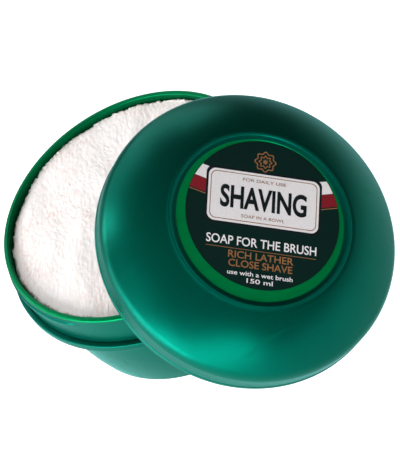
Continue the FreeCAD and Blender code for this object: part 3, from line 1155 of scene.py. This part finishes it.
@dataclass
class Soap:
    """The poured soap: a shaved, crumbly top over the cup's shape."""

    jar: Jar
    headspace: float = 2.3 * MM
    crown: float = 1.4 * MM
    gap: float = 0.05 * MM
    cells: int = 260
    sheet: float = 110.0 * MM
    rim_sheet: float = 300.0 * MM
    ragged_bite: float = 0.24 * MM
    crumb_bite: float = 0.2 * MM
    least_bite: float = 0.12 * MM
    wave_height: float = 0.13 * MM
    stroke_height: float = 0.02 * MM
    hair_height: float = 0.018 * MM
    hair_turn: float = 0.35
    pit_depth: float = 0.05 * MM
    edge_ragged: float = 0.16 * MM
    edge_crumbs: float = 0.2 * MM
    edge_drop: float = 0.5 * MM
    bitten_share: float = 0.14
    crumbled_share: float = 0.035
    dropped_share: float = 0.015
    # Angles between which the painted edge shade is deepest.
    shade_from: float = math.radians(142.0)
    shade_to: float = math.radians(196.0)

    @property
    def radius(self) -> float:
        """Radius that the neck leaves for the soap."""
        return self.jar.neck_radius - self.jar.neck_wall - self.gap

    @property
    def edge_level(self) -> float:
        """Level of the soap's surface at its edge."""
        return self.jar.height - self.headspace

    def disc_grid(self) -> tuple[Array, Array]:
        """Radius share and angle of a square grid bent into a disc.

        Each square ring of the grid becomes a circle of the same share, and places along the
        ring's four sides become even angles.

        Returns:
            The share from 0 to 1 and the angle, for every grid point.
        """
        steps = np.linspace(-1.0, 1.0, self.cells + 1)
        across, down = np.meshgrid(steps, steps, indexing="ij")
        share = np.maximum(np.abs(across), np.abs(down))
        safe = np.where(share == 0.0, 1.0, share)
        flat = np.abs(across) >= np.abs(down)
        eighth = math.pi / 4
        side = np.where(across >= 0.0, eighth * down / safe, math.pi - eighth * down / safe)
        lean = eighth * across / safe
        upright = np.where(down >= 0.0, math.pi / 2 - lean, lean - math.pi / 2)
        return share, np.where(flat, side, upright)

    def top(self) -> tuple[Array, Array]:
        """The shaved top as a grid of points, with its painted edge shade.

        The level is a shallow crown, plus long low waves, strokes along the grain, crumbs and
        pits, and it rounds off towards a ragged edge.

        Returns:
            Grid points and the painted shade at each.
        """
        share, angle = self.disc_grid()
        ragged = Unevenness(seed=11, width=self.rim_sheet, along=3.4 * MM, across=3.4 * MM)
        crumbs = Unevenness(seed=12, width=self.rim_sheet, along=1.3 * MM, across=1.3 * MM, cells=1024)
        rim = angle * self.radius
        bite = self.least_bite + self.ragged_bite * np.abs(ragged.at(rim, 0.0))
        bite += self.crumb_bite * np.abs(crumbs.at(rim, 0.0))
        radius = share * self.radius - bite * near_edge(share, self.bitten_share)
        x = radius * np.cos(angle)
        y = radius * np.sin(angle)
        waves = Unevenness(seed=21, width=self.sheet, along=15.0 * MM, across=9.0 * MM, grain=SOAP_GRAIN)
        strokes = Unevenness(seed=22, width=self.sheet, along=2.8 * MM, across=0.8 * MM, grain=SOAP_GRAIN)
        slant = SOAP_GRAIN + self.hair_turn
        hairs = Unevenness(seed=23, width=self.sheet, along=1.5 * MM, across=0.5 * MM, grain=slant)
        pits = Unevenness(seed=24, width=self.sheet, along=0.7 * MM, across=0.7 * MM).at(x, y)
        level = self.edge_level + self.crown * (1.0 - share ** 2) + self.wave_height * waves.at(x, y)
        level += self.stroke_height * strokes.at(x, y) + self.hair_height * hairs.at(x, y)
        level -= self.pit_depth * np.clip(pits - 1.0, 0.0, 2.0)
        edge = self.edge_ragged * ragged.at(rim, 40.0 * MM) + self.edge_crumbs * pits
        level += near_edge(share, self.crumbled_share) * edge
        level -= self.edge_drop * near_edge(share, self.dropped_share)
        # Painted shade: darker along the edge against the neck wall, deepest from 142° to 196°.
        turn = np.mod(angle, FULL_TURN)
        sector = smooth_step((turn - self.shade_from) / 0.15) * smooth_step((self.shade_to - turn) / 0.25)
        crevice = smooth_step((share - 0.982) / 0.016)
        blotch = smooth_step((ragged.at(rim, 90.0 * MM) + 1.0) / 1.6)
        painted_edge_shade = crevice * (0.08 + 0.6 * sector * blotch)
        return np.stack([x, y, level], axis=-1), painted_edge_shade

    def make(self, material: Material) -> None:
        """Join the top, the side down the cup's wall and the flat underside into one solid.

        Args:
            material: What the soap is made of.
        """
        top, painted_edge_shade = self.top()
        size = self.cells + 1
        number = np.arange(size * size).reshape(size, size)
        quads = np.stack([number[:-1, :-1], number[1:, :-1], number[1:, 1:], number[:-1, 1:]], axis=-1)
        faces = quads.reshape(-1, 4).tolist()
        edge = np.concatenate([number[:-1, 0], number[-1, :-1], number[:0:-1, -1], number[0, :0:-1]])
        rim = top.reshape(-1, 3)[edge]
        angle = np.arctan2(rim[:, 1], rim[:, 0])
        jar = self.jar
        floor = jar.cup_floor + self.gap
        side = outline([
            Corner(self.radius, self.edge_level - 2.0 * MM, step=3.0 * MM),
            Corner(self.radius, jar.shoulder, step=4.0 * MM),
            Corner(jar.cone_top_radius - self.gap, jar.underside, step=4.0 * MM),
            Corner(jar.cup_radius - self.gap, jar.underside - jar.cup_cone, step=6.0 * MM),
            Corner(jar.cup_radius - self.gap, floor, fillet=jar.cup_corner, step=6.0 * MM),
            Corner(jar.cup_radius - 8.0 * MM, floor, step=6.0 * MM),
        ])
        rings = turned(side, angle)
        points = np.concatenate([top.reshape(-1, 3), rings.reshape(-1, 3), [[0.0, 0.0, floor]]])
        around = len(edge)
        below = size * size + np.arange(rings.shape[0] * around).reshape(-1, around)
        rows = np.concatenate([edge[None, :], below])
        beside = np.roll(rows, -1, axis=1)
        walls = np.stack([rows[:-1], rows[1:], beside[1:], beside[:-1]], axis=-1)
        faces += walls.reshape(-1, 4).tolist()
        faces += np.stack([rows[-1], np.full(around, len(points) - 1), beside[-1]], axis=-1).tolist()
        piece = mesh_from("soap_cake", points, faces)
        # The painted edge shade lies on the top only.
        mark(piece, "painted_edge_shade", np.concatenate([painted_edge_shade.ravel(), np.zeros(len(points) - size * size)]))
        dress(piece, material, "jar", ["soap"])


# ---------------------------------------------------------------- the lid

@dataclass
class Lid:
    """The domed screw lid and the loose seal ring in it, both in the lid's own frame."""

    lean: LeanFrame
    radius: float
    height: float
    seal_radius: float
    seal_level: float
    seal_thickness: float
    wall: float = 1.2 * MM
    skirt_height: float = 7.5 * MM
    skirt_round: float = 0.6 * MM
    bead_height: float = 1.5 * MM
    bead_depth: float = 0.22 * MM
    dome_width: float = 20.7 * MM
    dome_start: float = math.radians(41.9)
    dome_end: float = math.radians(67.5)
    dome_side: float = 46.2 * MM
    dish_depth: float = 0.9 * MM
    dish_slope: float = 2.0 * MM
    lip_width: float = 0.7 * MM
    lip_rise: float = 0.16 * MM
    step_rise: float = 0.22 * MM
    crown_wall: float = 1.5 * MM
    seal_width: float = 3.2 * MM
    seal_clearance: float = 0.15 * MM
    thread_rise: float = 3.0 * MM
    gate_radius: float = 1.6 * MM
    gate_depth: float = 0.25 * MM
    shell_segments: int = 320
    seal_segments: int = 300

    @classmethod
    def from_frame(cls, lean: LeanFrame) -> "Lid":
        """Read the lid's and the seal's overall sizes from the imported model.

        Args:
            lean: The lid's own frame.

        Returns:
            The lid.
        """
        radius, _, height = lean.extents("lid_shell")
        seal_radius, seal_low, seal_high = lean.extents("seal_ring")
        return cls(lean, radius, height, seal_radius, seal_low, seal_high - seal_low)

    @property
    def skirt_inside(self) -> float:
        """Inner radius of the skirt."""
        return self.radius - self.wall

    @property
    def dish_radius(self) -> float:
        """Radius of the lip round the dish."""
        return self.radius - self.dome_width

    @property
    def dish_floor(self) -> float:
        """Level of the dish's floor."""
        return self.height - self.dish_depth

    def dome(self) -> dict[str, tuple[float, float]]:
        """Centre and ends of the dome's three tangent arcs.

        The middle arc's radius and the two angles where the arcs meet are given. The first and
        last radii solve two linear equations, across and up, that end the chain at the lip.

        Returns:
            The first and last radii, the end of the first arc, and the middle arc's centre and end.
        """
        sine_start = math.sin(self.dome_start)
        cosine_start = math.cos(self.dome_start)
        sine_end = math.sin(self.dome_end)
        cosine_end = math.cos(self.dome_end)
        across = self.radius - self.dish_radius - self.dome_side * (cosine_start - cosine_end)
        up = self.height - self.skirt_height - self.dome_side * (sine_end - sine_start)
        scale = (1 - cosine_start) * (1 - sine_end) - cosine_end * sine_start
        low = (across * (1 - sine_end) - cosine_end * up) / scale
        high = ((1 - cosine_start) * up - sine_start * across) / scale
        low_end = (self.radius - low * (1 - cosine_start), self.skirt_height + low * sine_start)
        centre = (low_end[0] - self.dome_side * cosine_start, low_end[1] - self.dome_side * sine_start)
        side_end = (centre[0] + self.dome_side * cosine_end, centre[1] + self.dome_side * sine_end)
        return {"bends": (low, high), "low_end": low_end, "centre": centre, "side_end": side_end}

    def make_shell(self, plastic: Material) -> None:
        """Turn the lid: hollow, seal seat, skirt with its edge bead, dome and dish.

        Args:
            plastic: What the lid is made of.
        """
        dome = self.dome()
        low, high = dome["bends"]
        ceiling = self.dish_floor - self.crown_wall
        side_inside = self.dome_side - self.wall
        centre_radius, centre_level = dome["centre"]
        seat_radius = self.seal_radius + self.seal_clearance
        seat_level = self.seal_level + self.seal_thickness + self.seal_clearance
        seat_inner = self.seal_radius - self.seal_width
        low_across = self.skirt_inside - (low - self.wall) - seat_radius
        seat_foot = self.skirt_height + math.sqrt((low - self.wall) ** 2 - low_across ** 2)
        seat_top = centre_level + math.sqrt(side_inside ** 2 - (seat_inner - centre_radius) ** 2)
        ceiling_radius = centre_radius + math.sqrt(side_inside ** 2 - (ceiling - centre_level) ** 2)
        neck = self.radius - self.bead_depth
        floor = self.dish_radius - self.dish_slope
        lip_foot = self.height - high + math.sqrt(high ** 2 - self.lip_width ** 2)
        section = outline([
            Corner(0.0, ceiling + self.gate_depth),
            Corner(self.gate_radius, ceiling + self.gate_depth, fillet=0.1 * MM),
            Corner(self.gate_radius + self.gate_depth, ceiling, fillet=0.1 * MM),
            Corner(ceiling_radius, ceiling, fillet=2.0 * MM, step=3.0 * MM),
            Corner(seat_inner, seat_top, bend=side_inside, turn=Turn.RIGHT, fillet=0.3 * MM),
            Corner(seat_inner, seat_level, fillet=0.25 * MM),
            Corner(seat_radius, seat_level),
            Corner(seat_radius, seat_foot, fillet=0.2 * MM),
            Corner(self.skirt_inside, self.skirt_height, bend=low - self.wall, turn=Turn.RIGHT),
            Corner(self.skirt_inside, 0.0, fillet=0.25 * MM, step=0.14 * MM),
            Corner(self.radius, 0.0, fillet=self.skirt_round),
            Corner(self.radius, self.bead_height, fillet=0.35 * MM),
            Corner(neck, self.bead_height + self.bead_depth * 1.5, fillet=0.4 * MM),
            Corner(neck + self.bead_depth * 0.6, self.skirt_height * 0.75, fillet=3.0 * MM),
            Corner(self.radius, self.skirt_height + 0.4 * MM, fillet=2.0 * MM),
            Corner(*dome["low_end"], bend=low),
            Corner(*dome["side_end"], bend=self.dome_side),
            Corner(self.dish_radius + self.lip_width, lip_foot, bend=high, fillet=0.15 * MM),
            Corner(self.dish_radius + self.lip_width / 2, self.height + self.lip_rise, fillet=0.2 * MM),
            Corner(self.dish_radius - self.lip_width / 2, self.height + self.lip_rise, fillet=0.2 * MM),
            Corner(self.dish_radius - self.lip_width, self.height - self.lip_rise, fillet=0.2 * MM),
            Corner(floor, self.dish_floor + self.step_rise, fillet=0.12 * MM, step=0.3 * MM),
            Corner(floor - self.step_rise, self.dish_floor, fillet=0.12 * MM),
            Corner(0.0, self.dish_floor),
        ])
        wall = self.skirt_inside
        thread = Thread(0.0, self.thread_rise)
        relief = thread.on_wall(wall - 2 * WALL_TOLERANCE, wall + WALL_TOLERANCE, 0.0, -1)
        piece = ring_mesh("domed_lid", turned(section, even_angles(self.shell_segments), relief), capped=True)
        # Painted glow: the dish floor round the label gets the brighter green.
        points = points_of(piece)
        across = np.hypot(points[:, 0], points[:, 1])
        on_top = points[:, 2] > ceiling + self.crown_wall / 2
        mark(piece, "thin", smooth_step((floor + 0.2 * MM - across) / (0.5 * MM)) * on_top)
        moved(piece, self.lean.to_table)
        dress(piece, plastic, "lid", ["lid_shell"])

    def make_seal(self, foam: Material) -> None:
        """Turn the flat foam ring with soft edges.

        Args:
            foam: What the ring is made of.
        """
        inner = self.seal_radius - self.seal_width
        top = self.seal_level + self.seal_thickness
        places = [(inner, self.seal_level), (self.seal_radius, self.seal_level), (self.seal_radius, top),
                  (inner, top)]
        section = outline([Corner(*place, fillet=0.2 * MM, step=0.4 * MM) for place in places], looped=True)
        piece = ring_mesh("foam_seal", turned(section, even_angles(self.seal_segments)), capped=False)
        moved(piece, self.lean.to_table)
        dress(piece, foam, "seal", ["seal_ring"])


# ---------------------------------------------------------------- printed labels

class Weight(Enum):
    """How heavy a line of letters is, as the share of its size that is added all round."""

    PLAIN = 0.0
    FIRM = 0.012
    HEAVY = 0.03


@dataclass(frozen=True)
class Lettering:
    """One centred line of plain letters, of a given capital height and overall width."""

    words: str
    capital: float
    span: float
    weight: Weight = Weight.PLAIN

    def mesh(self, name: str) -> Piece:
        """Make the line as a closed thin mesh, centred on the origin and facing up.

        Args:
            name: Name of the piece.

        Returns:
            The new object.
        """
        curve = bpy.data.curves.new(name, "FONT")
        curve.body = self.words
        curve.align_x = "CENTER"
        curve.size = 1.0
        curve.offset = self.weight.value
        curve.resolution_u = 5
        curve.extrude = 0.5
        holder = bpy.data.objects.new(name + "_line", curve)
        bpy.context.scene.collection.objects.link(holder)
        bpy.context.view_layer.update()
        mesh = bpy.data.meshes.new_from_object(holder.evaluated_get(bpy.context.evaluated_depsgraph_get()))
        bpy.data.objects.remove(holder)
        bpy.data.curves.remove(curve)
        shape = bmesh.new()
        shape.from_mesh(mesh)
        bmesh.ops.remove_doubles(shape, verts=shape.verts, dist=1e-5)
        bmesh.ops.recalc_face_normals(shape, faces=shape.faces)
        shape.to_mesh(mesh)
        shape.free()
        mesh.name = name
        piece = bpy.data.objects.new(name, mesh)
        bpy.context.scene.collection.objects.link(piece)
        reach = points_of(piece)[:, 0]
        middle = np.array([(reach.min() + reach.max()) / 2, CAPITAL_SHARE / 2, -0.5])
        across = self.span / (reach.max() - reach.min())
        stretch = np.array([across, self.capital / CAPITAL_SHARE, PRINT_THICKNESS])
        return moved(piece, lambda points: (points - middle) * stretch)


BASE_LINES = [
    (Lettering("SHAVING SOAP", 3.6 * MM, 38.0 * MM, Weight.FIRM), 4.0 * MM),
    (Lettering("apply with a wet brush", 1.9 * MM, 28.0 * MM), -2.5 * MM),
    (Lettering("close the lid after use", 1.9 * MM, 28.0 * MM), -6.5 * MM),
    (Lettering("150 ml", 2.4 * MM, 10.0 * MM), -13.0 * MM),
]


@dataclass
class LidLabel:
    """The printed film disc in the dish: plaque, bands, rosette and plain words."""

    lean: LeanFrame
    radius: float
    level: float
    thickness: float
    offset: float
    reading_angle: float = math.radians(22.8)
    plaque_width: float = 38.6 * MM
    plaque_height: float = 18.8 * MM
    plaque_corner: float = 2.6 * MM
    plaque_up: float = 5.3 * MM
    patch_inner: float = 18.0 * MM
    rosette_up: float = 19.3 * MM
    rosette_petals: int = 8
    rosette_line: float = 0.45 * MM
    border: float = 0.8 * MM
    line_inset: float = 0.8 * MM
    line_width: float = 0.25 * MM
    edge_margin: float = 0.15 * MM
    band_slope: float = 0.25
    disc_segments: int = 200
    box_segments: int = 96
    rosette_segments: int = 240
    band_steps: int = 16

    @classmethod
    def from_frame(cls, lean: LeanFrame) -> "LidLabel":
        """Read the disc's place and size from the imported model.

        Args:
            lean: The lid's own frame.

        Returns:
            The label.
        """
        reach, low, high = lean.extents("lid_label")
        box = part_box("lid_label")
        offset = (box[0].x + box[1].x) / 2
        return cls(lean, reach - offset, low, high - low, offset)

    def placed(self, points: Array) -> Array:
        """Put points of the artwork, which reads along X with Y up, in the table's frame.

        Args:
            points: Rows of x, y and level.

        Returns:
            The same rows in the table's frame.
        """
        sine = math.sin(self.reading_angle)
        cosine = math.cos(self.reading_angle)
        right = np.array([sine, -cosine, 0.0])
        up = np.array([cosine, sine, 0.0])
        spot = points[:, :1] * right + points[:, 1:2] * up + points[:, 2:] * np.array([0.0, 0.0, 1.0])
        return self.lean.to_table(spot + np.array([self.offset, 0.0, 0.0]))

    def lay(self, piece: Piece, material: Material, nodes: Sequence[str] = ()) -> None:
        """Move a piece of the artwork onto the leaning lid and dress it.

        Args:
            piece: The piece, in the artwork's frame.
            material: Film or ink that it is made of.
            nodes: Model nodes that it replaces.
        """
        moved(piece, self.placed)
        dress(piece, material, "lid", nodes)

    def box_edge(self, grow: float, roundness: float = 1.0) -> Array:
        """A box with round corners: a small circle whose centre jumps between four places.

        Args:
            grow: How far the box reaches past the plaque on every side.
            roundness: Radius of its corners as a share of the plaque's.

        Returns:
            The outline, round the plaque's middle.
        """
        corner = self.plaque_corner * roundness
        centres = np.array([self.plaque_width, self.plaque_height]) / 2 + grow - corner
        angles = even_angles(self.box_segments) + math.pi / self.box_segments
        jumps = np.sign(polar(1.0, angles)) * centres
        return jumps + polar(corner, angles) + np.array([0.0, self.plaque_up])

    def patch_edge(self, bottom: float, top: float, side: int) -> Array:
        """One end of a straight band, from behind the plaque to a circle just inside the disc's edge.

        Args:
            bottom: Level of the band's lower edge where it leaves the plaque.
            top: Level of its upper edge there.
            side: 1 for the right end and -1 for the left.

        Returns:
            The patch's outline.
        """
        limit = self.radius - self.edge_margin
        slope = self.band_slope
        starts = np.linspace(bottom, top, self.band_steps) - slope * self.patch_inner
        spread = 1.0 + slope ** 2
        reach = (np.sqrt(spread * limit ** 2 - starts ** 2) - slope * starts) / spread
        outer = np.stack([side * reach, starts + slope * reach], axis=1)
        ends = np.full_like(starts, side * self.patch_inner)
        inner = np.stack([ends, starts + slope * self.patch_inner], axis=1)
        return np.concatenate([outer, inner[::-1]])

    def rosette_edge(self, radius: float, swing: float) -> Array:
        """A closed wavy line: the radius swings with the cosine of the angle times the petals.

        Args:
            radius: Mean radius of the line.
            swing: How far it swings to both sides.

        Returns:
            The outline, round the rosette's middle.
        """
        angles = even_angles(self.rosette_segments)
        reach = radius + swing * np.cos(self.rosette_petals * angles)
        return polar(reach, angles) + np.array([0.0, self.rosette_up])

    def make_disc(self, film: Material) -> None:
        """Make the plain film disc."""
        edge = polar(self.radius, even_angles(self.disc_segments))
        disc = plate("label_film", edge, self.level, self.thickness)
        self.lay(disc, film, ["lid_label"])

    def make_artwork(self, inks: dict[str, Material]) -> None:
        """Print the side patches, the plaque with its line, the rosette and the rule.

        Args:
            inks: The printing inks by name.
        """
        prints: list[tuple[str, str, int, Array, Optional[Array]]] = []
        for side, hand in ((1, "right"), (-1, "left")):
            for ink, bottom, top in (("pale", 9.9, 14.6), ("red", 5.0, 9.8), ("copper", 4.3, 4.6)):
                edge = self.patch_edge(bottom * MM, top * MM, side)
                prints.append(("patch_%s_%s" % (ink, hand), ink, 0, edge, None))
        line_outside = self.box_edge(-self.line_inset, 0.8)
        line_inside = self.box_edge(-self.line_inset - self.line_width, 0.75)
        prints += [
            ("plaque_border", "dark", 1, self.box_edge(self.border), None),
            ("plaque", "pale", 2, self.box_edge(0.0), None),
            ("plaque_line", "copper", 3, line_outside, line_inside),
        ]
        for index, (radius, swing) in enumerate([(3.5 * MM, 0.35 * MM), (2.1 * MM, 0.3 * MM)]):
            outer = self.rosette_edge(radius, swing)
            inner = self.rosette_edge(radius - self.rosette_line, swing)
            prints.append(("rosette_%d" % (index + 1), "copper", 0, outer, inner))
        rule = np.array([[-19.0, -13.3], [19.0, -13.3], [19.0, -13.1], [-19.0, -13.1]]) * MM
        prints += [
            ("rosette_heart", "copper", 0, self.rosette_edge(0.75 * MM, 0.2 * MM), None),
            ("rule", "copper", 0, rule, None),
        ]
        for name, ink, layer, edge, hole in prints:
            level = self.level + self.thickness + layer * PRINT_THICKNESS
            if hole is None:
                piece = plate("label_" + name, edge, level, PRINT_THICKNESS)
            else:
                piece = frame_plate("label_" + name, edge, hole, level, PRINT_THICKNESS)
            self.lay(piece, inks[ink])

    def make_words(self, inks: dict[str, Material]) -> None:
        """Print the plain words, first those of the plaque and then those under it.

        Args:
            inks: The printing inks by name.
        """
        first = self.level + self.thickness
        plaque_top = first + 4 * PRINT_THICKNESS
        # Name, words, capital height, span, weight, height on the label, level and ink.
        lines = [
            ("main", "SHAVING", 7.6, 30.0, Weight.HEAVY, 5.3, plaque_top, "dark"),
            ("above", "FOR DAILY USE", 1.1, 15.0, Weight.PLAIN, 11.9, plaque_top, "copper"),
            ("below", "SOAP IN A BOWL", 1.1, 15.0, Weight.PLAIN, -1.3, plaque_top, "copper"),
            ("title", "SOAP FOR THE BRUSH", 3.1, 38.0, Weight.FIRM, -10.4, first, "pale"),
            ("copper_1", "RICH LATHER", 2.5, 22.5, Weight.FIRM, -15.2, first, "copper"),
            ("copper_2", "CLOSE SHAVE", 2.5, 22.0, Weight.FIRM, -18.3, first, "copper"),
            ("small_1", "use with a wet brush", 1.6, 22.5, Weight.FIRM, -21.6, first, "pale"),
            ("small_2", "150 ml", 1.6, 9.0, Weight.FIRM, -24.0, first, "pale"),
        ]
        for name, words, capital, span, weight, up, base, ink in lines:
            piece = Lettering(words, capital * MM, span * MM, weight).mesh("label_word_" + name)
            moved(piece, lambda points, up=up, base=base: points + [0.0, up * MM, base])
            self.lay(piece, inks[ink])


# ---------------------------------------------------------------- studio

@dataclass(frozen=True)
class SoftLight:
    """One soft box: where it stands, its size and its strength."""

    name: str
    azimuth: float
    elevation: float
    distance: float
    width: float
    height: float
    power: float

    def place(self, target: Vector) -> None:
        """Hang the light on its direction from the target and turn it to face it.

        Args:
            target: What the light is aimed at.
        """
        turn = math.radians(self.azimuth)
        lift = math.radians(self.elevation)
        direction = Vector((math.cos(turn) * math.cos(lift), math.sin(turn) * math.cos(lift), math.sin(lift)))
        data = bpy.data.lights.new(self.name, "AREA")
        data.shape = "RECTANGLE"
        data.size = self.width
        data.size_y = self.height
        data.energy = self.power
        lamp = bpy.data.objects.new(self.name, data)
        lamp.location = target + direction * self.distance
        lamp.rotation_euler = direction.to_track_quat("Z", "Y").to_euler()
        lamp.visible_camera = False
        bpy.context.scene.collection.objects.link(lamp)


@dataclass
class Studio:
    """The camera, the table, the soft lights and the pale surroundings."""

    target: Triple = (3.3 * MM, -20.96 * MM, 36.19 * MM)
    azimuth: float = math.radians(-36.86)
    elevation: float = math.radians(45.46)
    roll: float = math.radians(-33.95)
    distance: float = 967.5 * MM
    lens: float = 224.0
    table_half: float = 2.5
    surround: float = 0.03
    # Name, azimuth and elevation in degrees, distance, width and height in metres, and watts.
    lights: list[SoftLight] = field(default_factory=lambda: [
        SoftLight("key_left", 165.0, 12.0, 1.0, 0.8, 0.5, 15.5),
        SoftLight("left_front", 203.0, 7.0, 0.9, 1.0, 0.35, 9.0),
        SoftLight("left_back", 128.0, 14.0, 1.0, 0.5, 0.4, 3.4),
        SoftLight("left_strip", 102.0, 36.0, 1.0, 0.14, 0.7, 4.0),
        SoftLight("left_high", 160.0, 42.0, 1.0, 0.5, 0.5, 1.0),
        SoftLight("back_high", 76.0, 38.0, 1.0, 0.9, 0.5, 3.0),
        SoftLight("back_right", 36.0, 22.0, 1.0, 0.6, 0.5, 2.0),
        SoftLight("front_high", 282.0, 48.0, 1.0, 0.6, 0.5, 2.2),
    ])

    def make_camera(self) -> None:
        """Aim the camera at the target from its azimuth and elevation, then roll it."""
        sine = math.sin(self.azimuth)
        cosine = math.cos(self.azimuth)
        level = math.cos(self.elevation)
        back = Vector((sine * level, -cosine * level, math.sin(self.elevation)))
        right = Vector((cosine, sine, 0.0))
        up = back.cross(right)
        rolled_right = math.cos(self.roll) * right + math.sin(self.roll) * up
        rolled_up = back.cross(rolled_right)
        data = bpy.data.cameras.new("camera")
        data.lens = self.lens
        data.sensor_width = 36.0
        data.clip_start = 0.05
        data.clip_end = 20.0
        camera = bpy.data.objects.new("camera", data)
        turn = Matrix((rolled_right, rolled_up, back)).transposed().to_4x4()
        camera.matrix_world = Matrix.Translation(Vector(self.target) + back * self.distance) @ turn
        bpy.context.scene.collection.objects.link(camera)
        bpy.context.scene.camera = camera

    def make_table(self) -> None:
        """Lay the pale table just under the foot."""
        half = self.table_half
        low = -0.1 * MM
        corners = [(-half, -half, low), (half, -half, low), (half, half, low), (-half, half, low)]
        mesh = bpy.data.meshes.new("table")
        mesh.from_pydata(corners, [], [(0, 1, 2, 3)])
        mesh.materials.append(TableFinish().material())
        table = bpy.data.objects.new("table", mesh)
        bpy.context.scene.collection.objects.link(table)

    def make_surround(self) -> None:
        """Light the scene evenly from a pale surround and show colours as they are."""
        world = bpy.data.worlds.new("surround")
        world.use_nodes = True
        backdrop = world.node_tree.nodes["Background"]
        backdrop.inputs["Color"].default_value = (1.0, 1.0, 1.0, 1.0)
        backdrop.inputs["Strength"].default_value = self.surround
        bpy.context.scene.world = world
        bpy.context.scene.view_settings.view_transform = "Standard"

    def make(self) -> None:
        """Set up everything round the object."""
        self.make_camera()
        self.make_table()
        self.make_surround()
        for light in self.lights:
            light.place(Vector(self.target))


# ---------------------------------------------------------------- main

def make_inks() -> dict[str, Material]:
    """Mix the printing inks.

    Returns:
        The inks by name.
    """
    return {
        "pale": Ink("ink_pale", paint(238, 234, 236), paint(216, 212, 214)).material(),
        "red": Ink("ink_red", paint(132, 26, 36), paint(104, 22, 30)).material(),
        "copper": Ink("ink_copper", paint(150, 104, 66), paint(112, 78, 46)).material(),
        "dark": Ink("ink_dark", paint(12, 22, 24), paint(24, 34, 36)).material(),
    }


def main() -> None:
    """Build the jar, the soap, the lid and its label, and the studio round them."""
    logging.basicConfig(level=logging.INFO, format="%(message)s")
    plastic = MouldedPlastic(
        name="green_plastic",
        colour=paint(0, 74, 61),
        flow_colour=paint(0, 80, 65),
        # Brighter green painted as glow through thin walls.
        painted_glow_colour=paint(0, 104, 50),
        sheen_colour=(0.0, 0.8, 0.8),
    ).material()
    inks = make_inks()
    jar = Jar.from_frame()
    jar.make_bowl(plastic)
    jar.make_cup(plastic)
    jar.make_base_label(PaperFinish().material(), inks["dark"])
    Soap(jar).make(SoapFinish().material())
    lean = LeanFrame.from_joint()
    lid = Lid.from_frame(lean)
    lid.make_shell(plastic)
    lid.make_seal(FoamFinish().material())
    label = LidLabel.from_frame(lean)
    label.make_disc(Ink("label_film", paint(0, 33, 28), paint(0, 39, 34), 0.45).material())
    label.make_artwork(inks)
    label.make_words(inks)
    Studio().make()


if __name__ == "__main__":
    main()
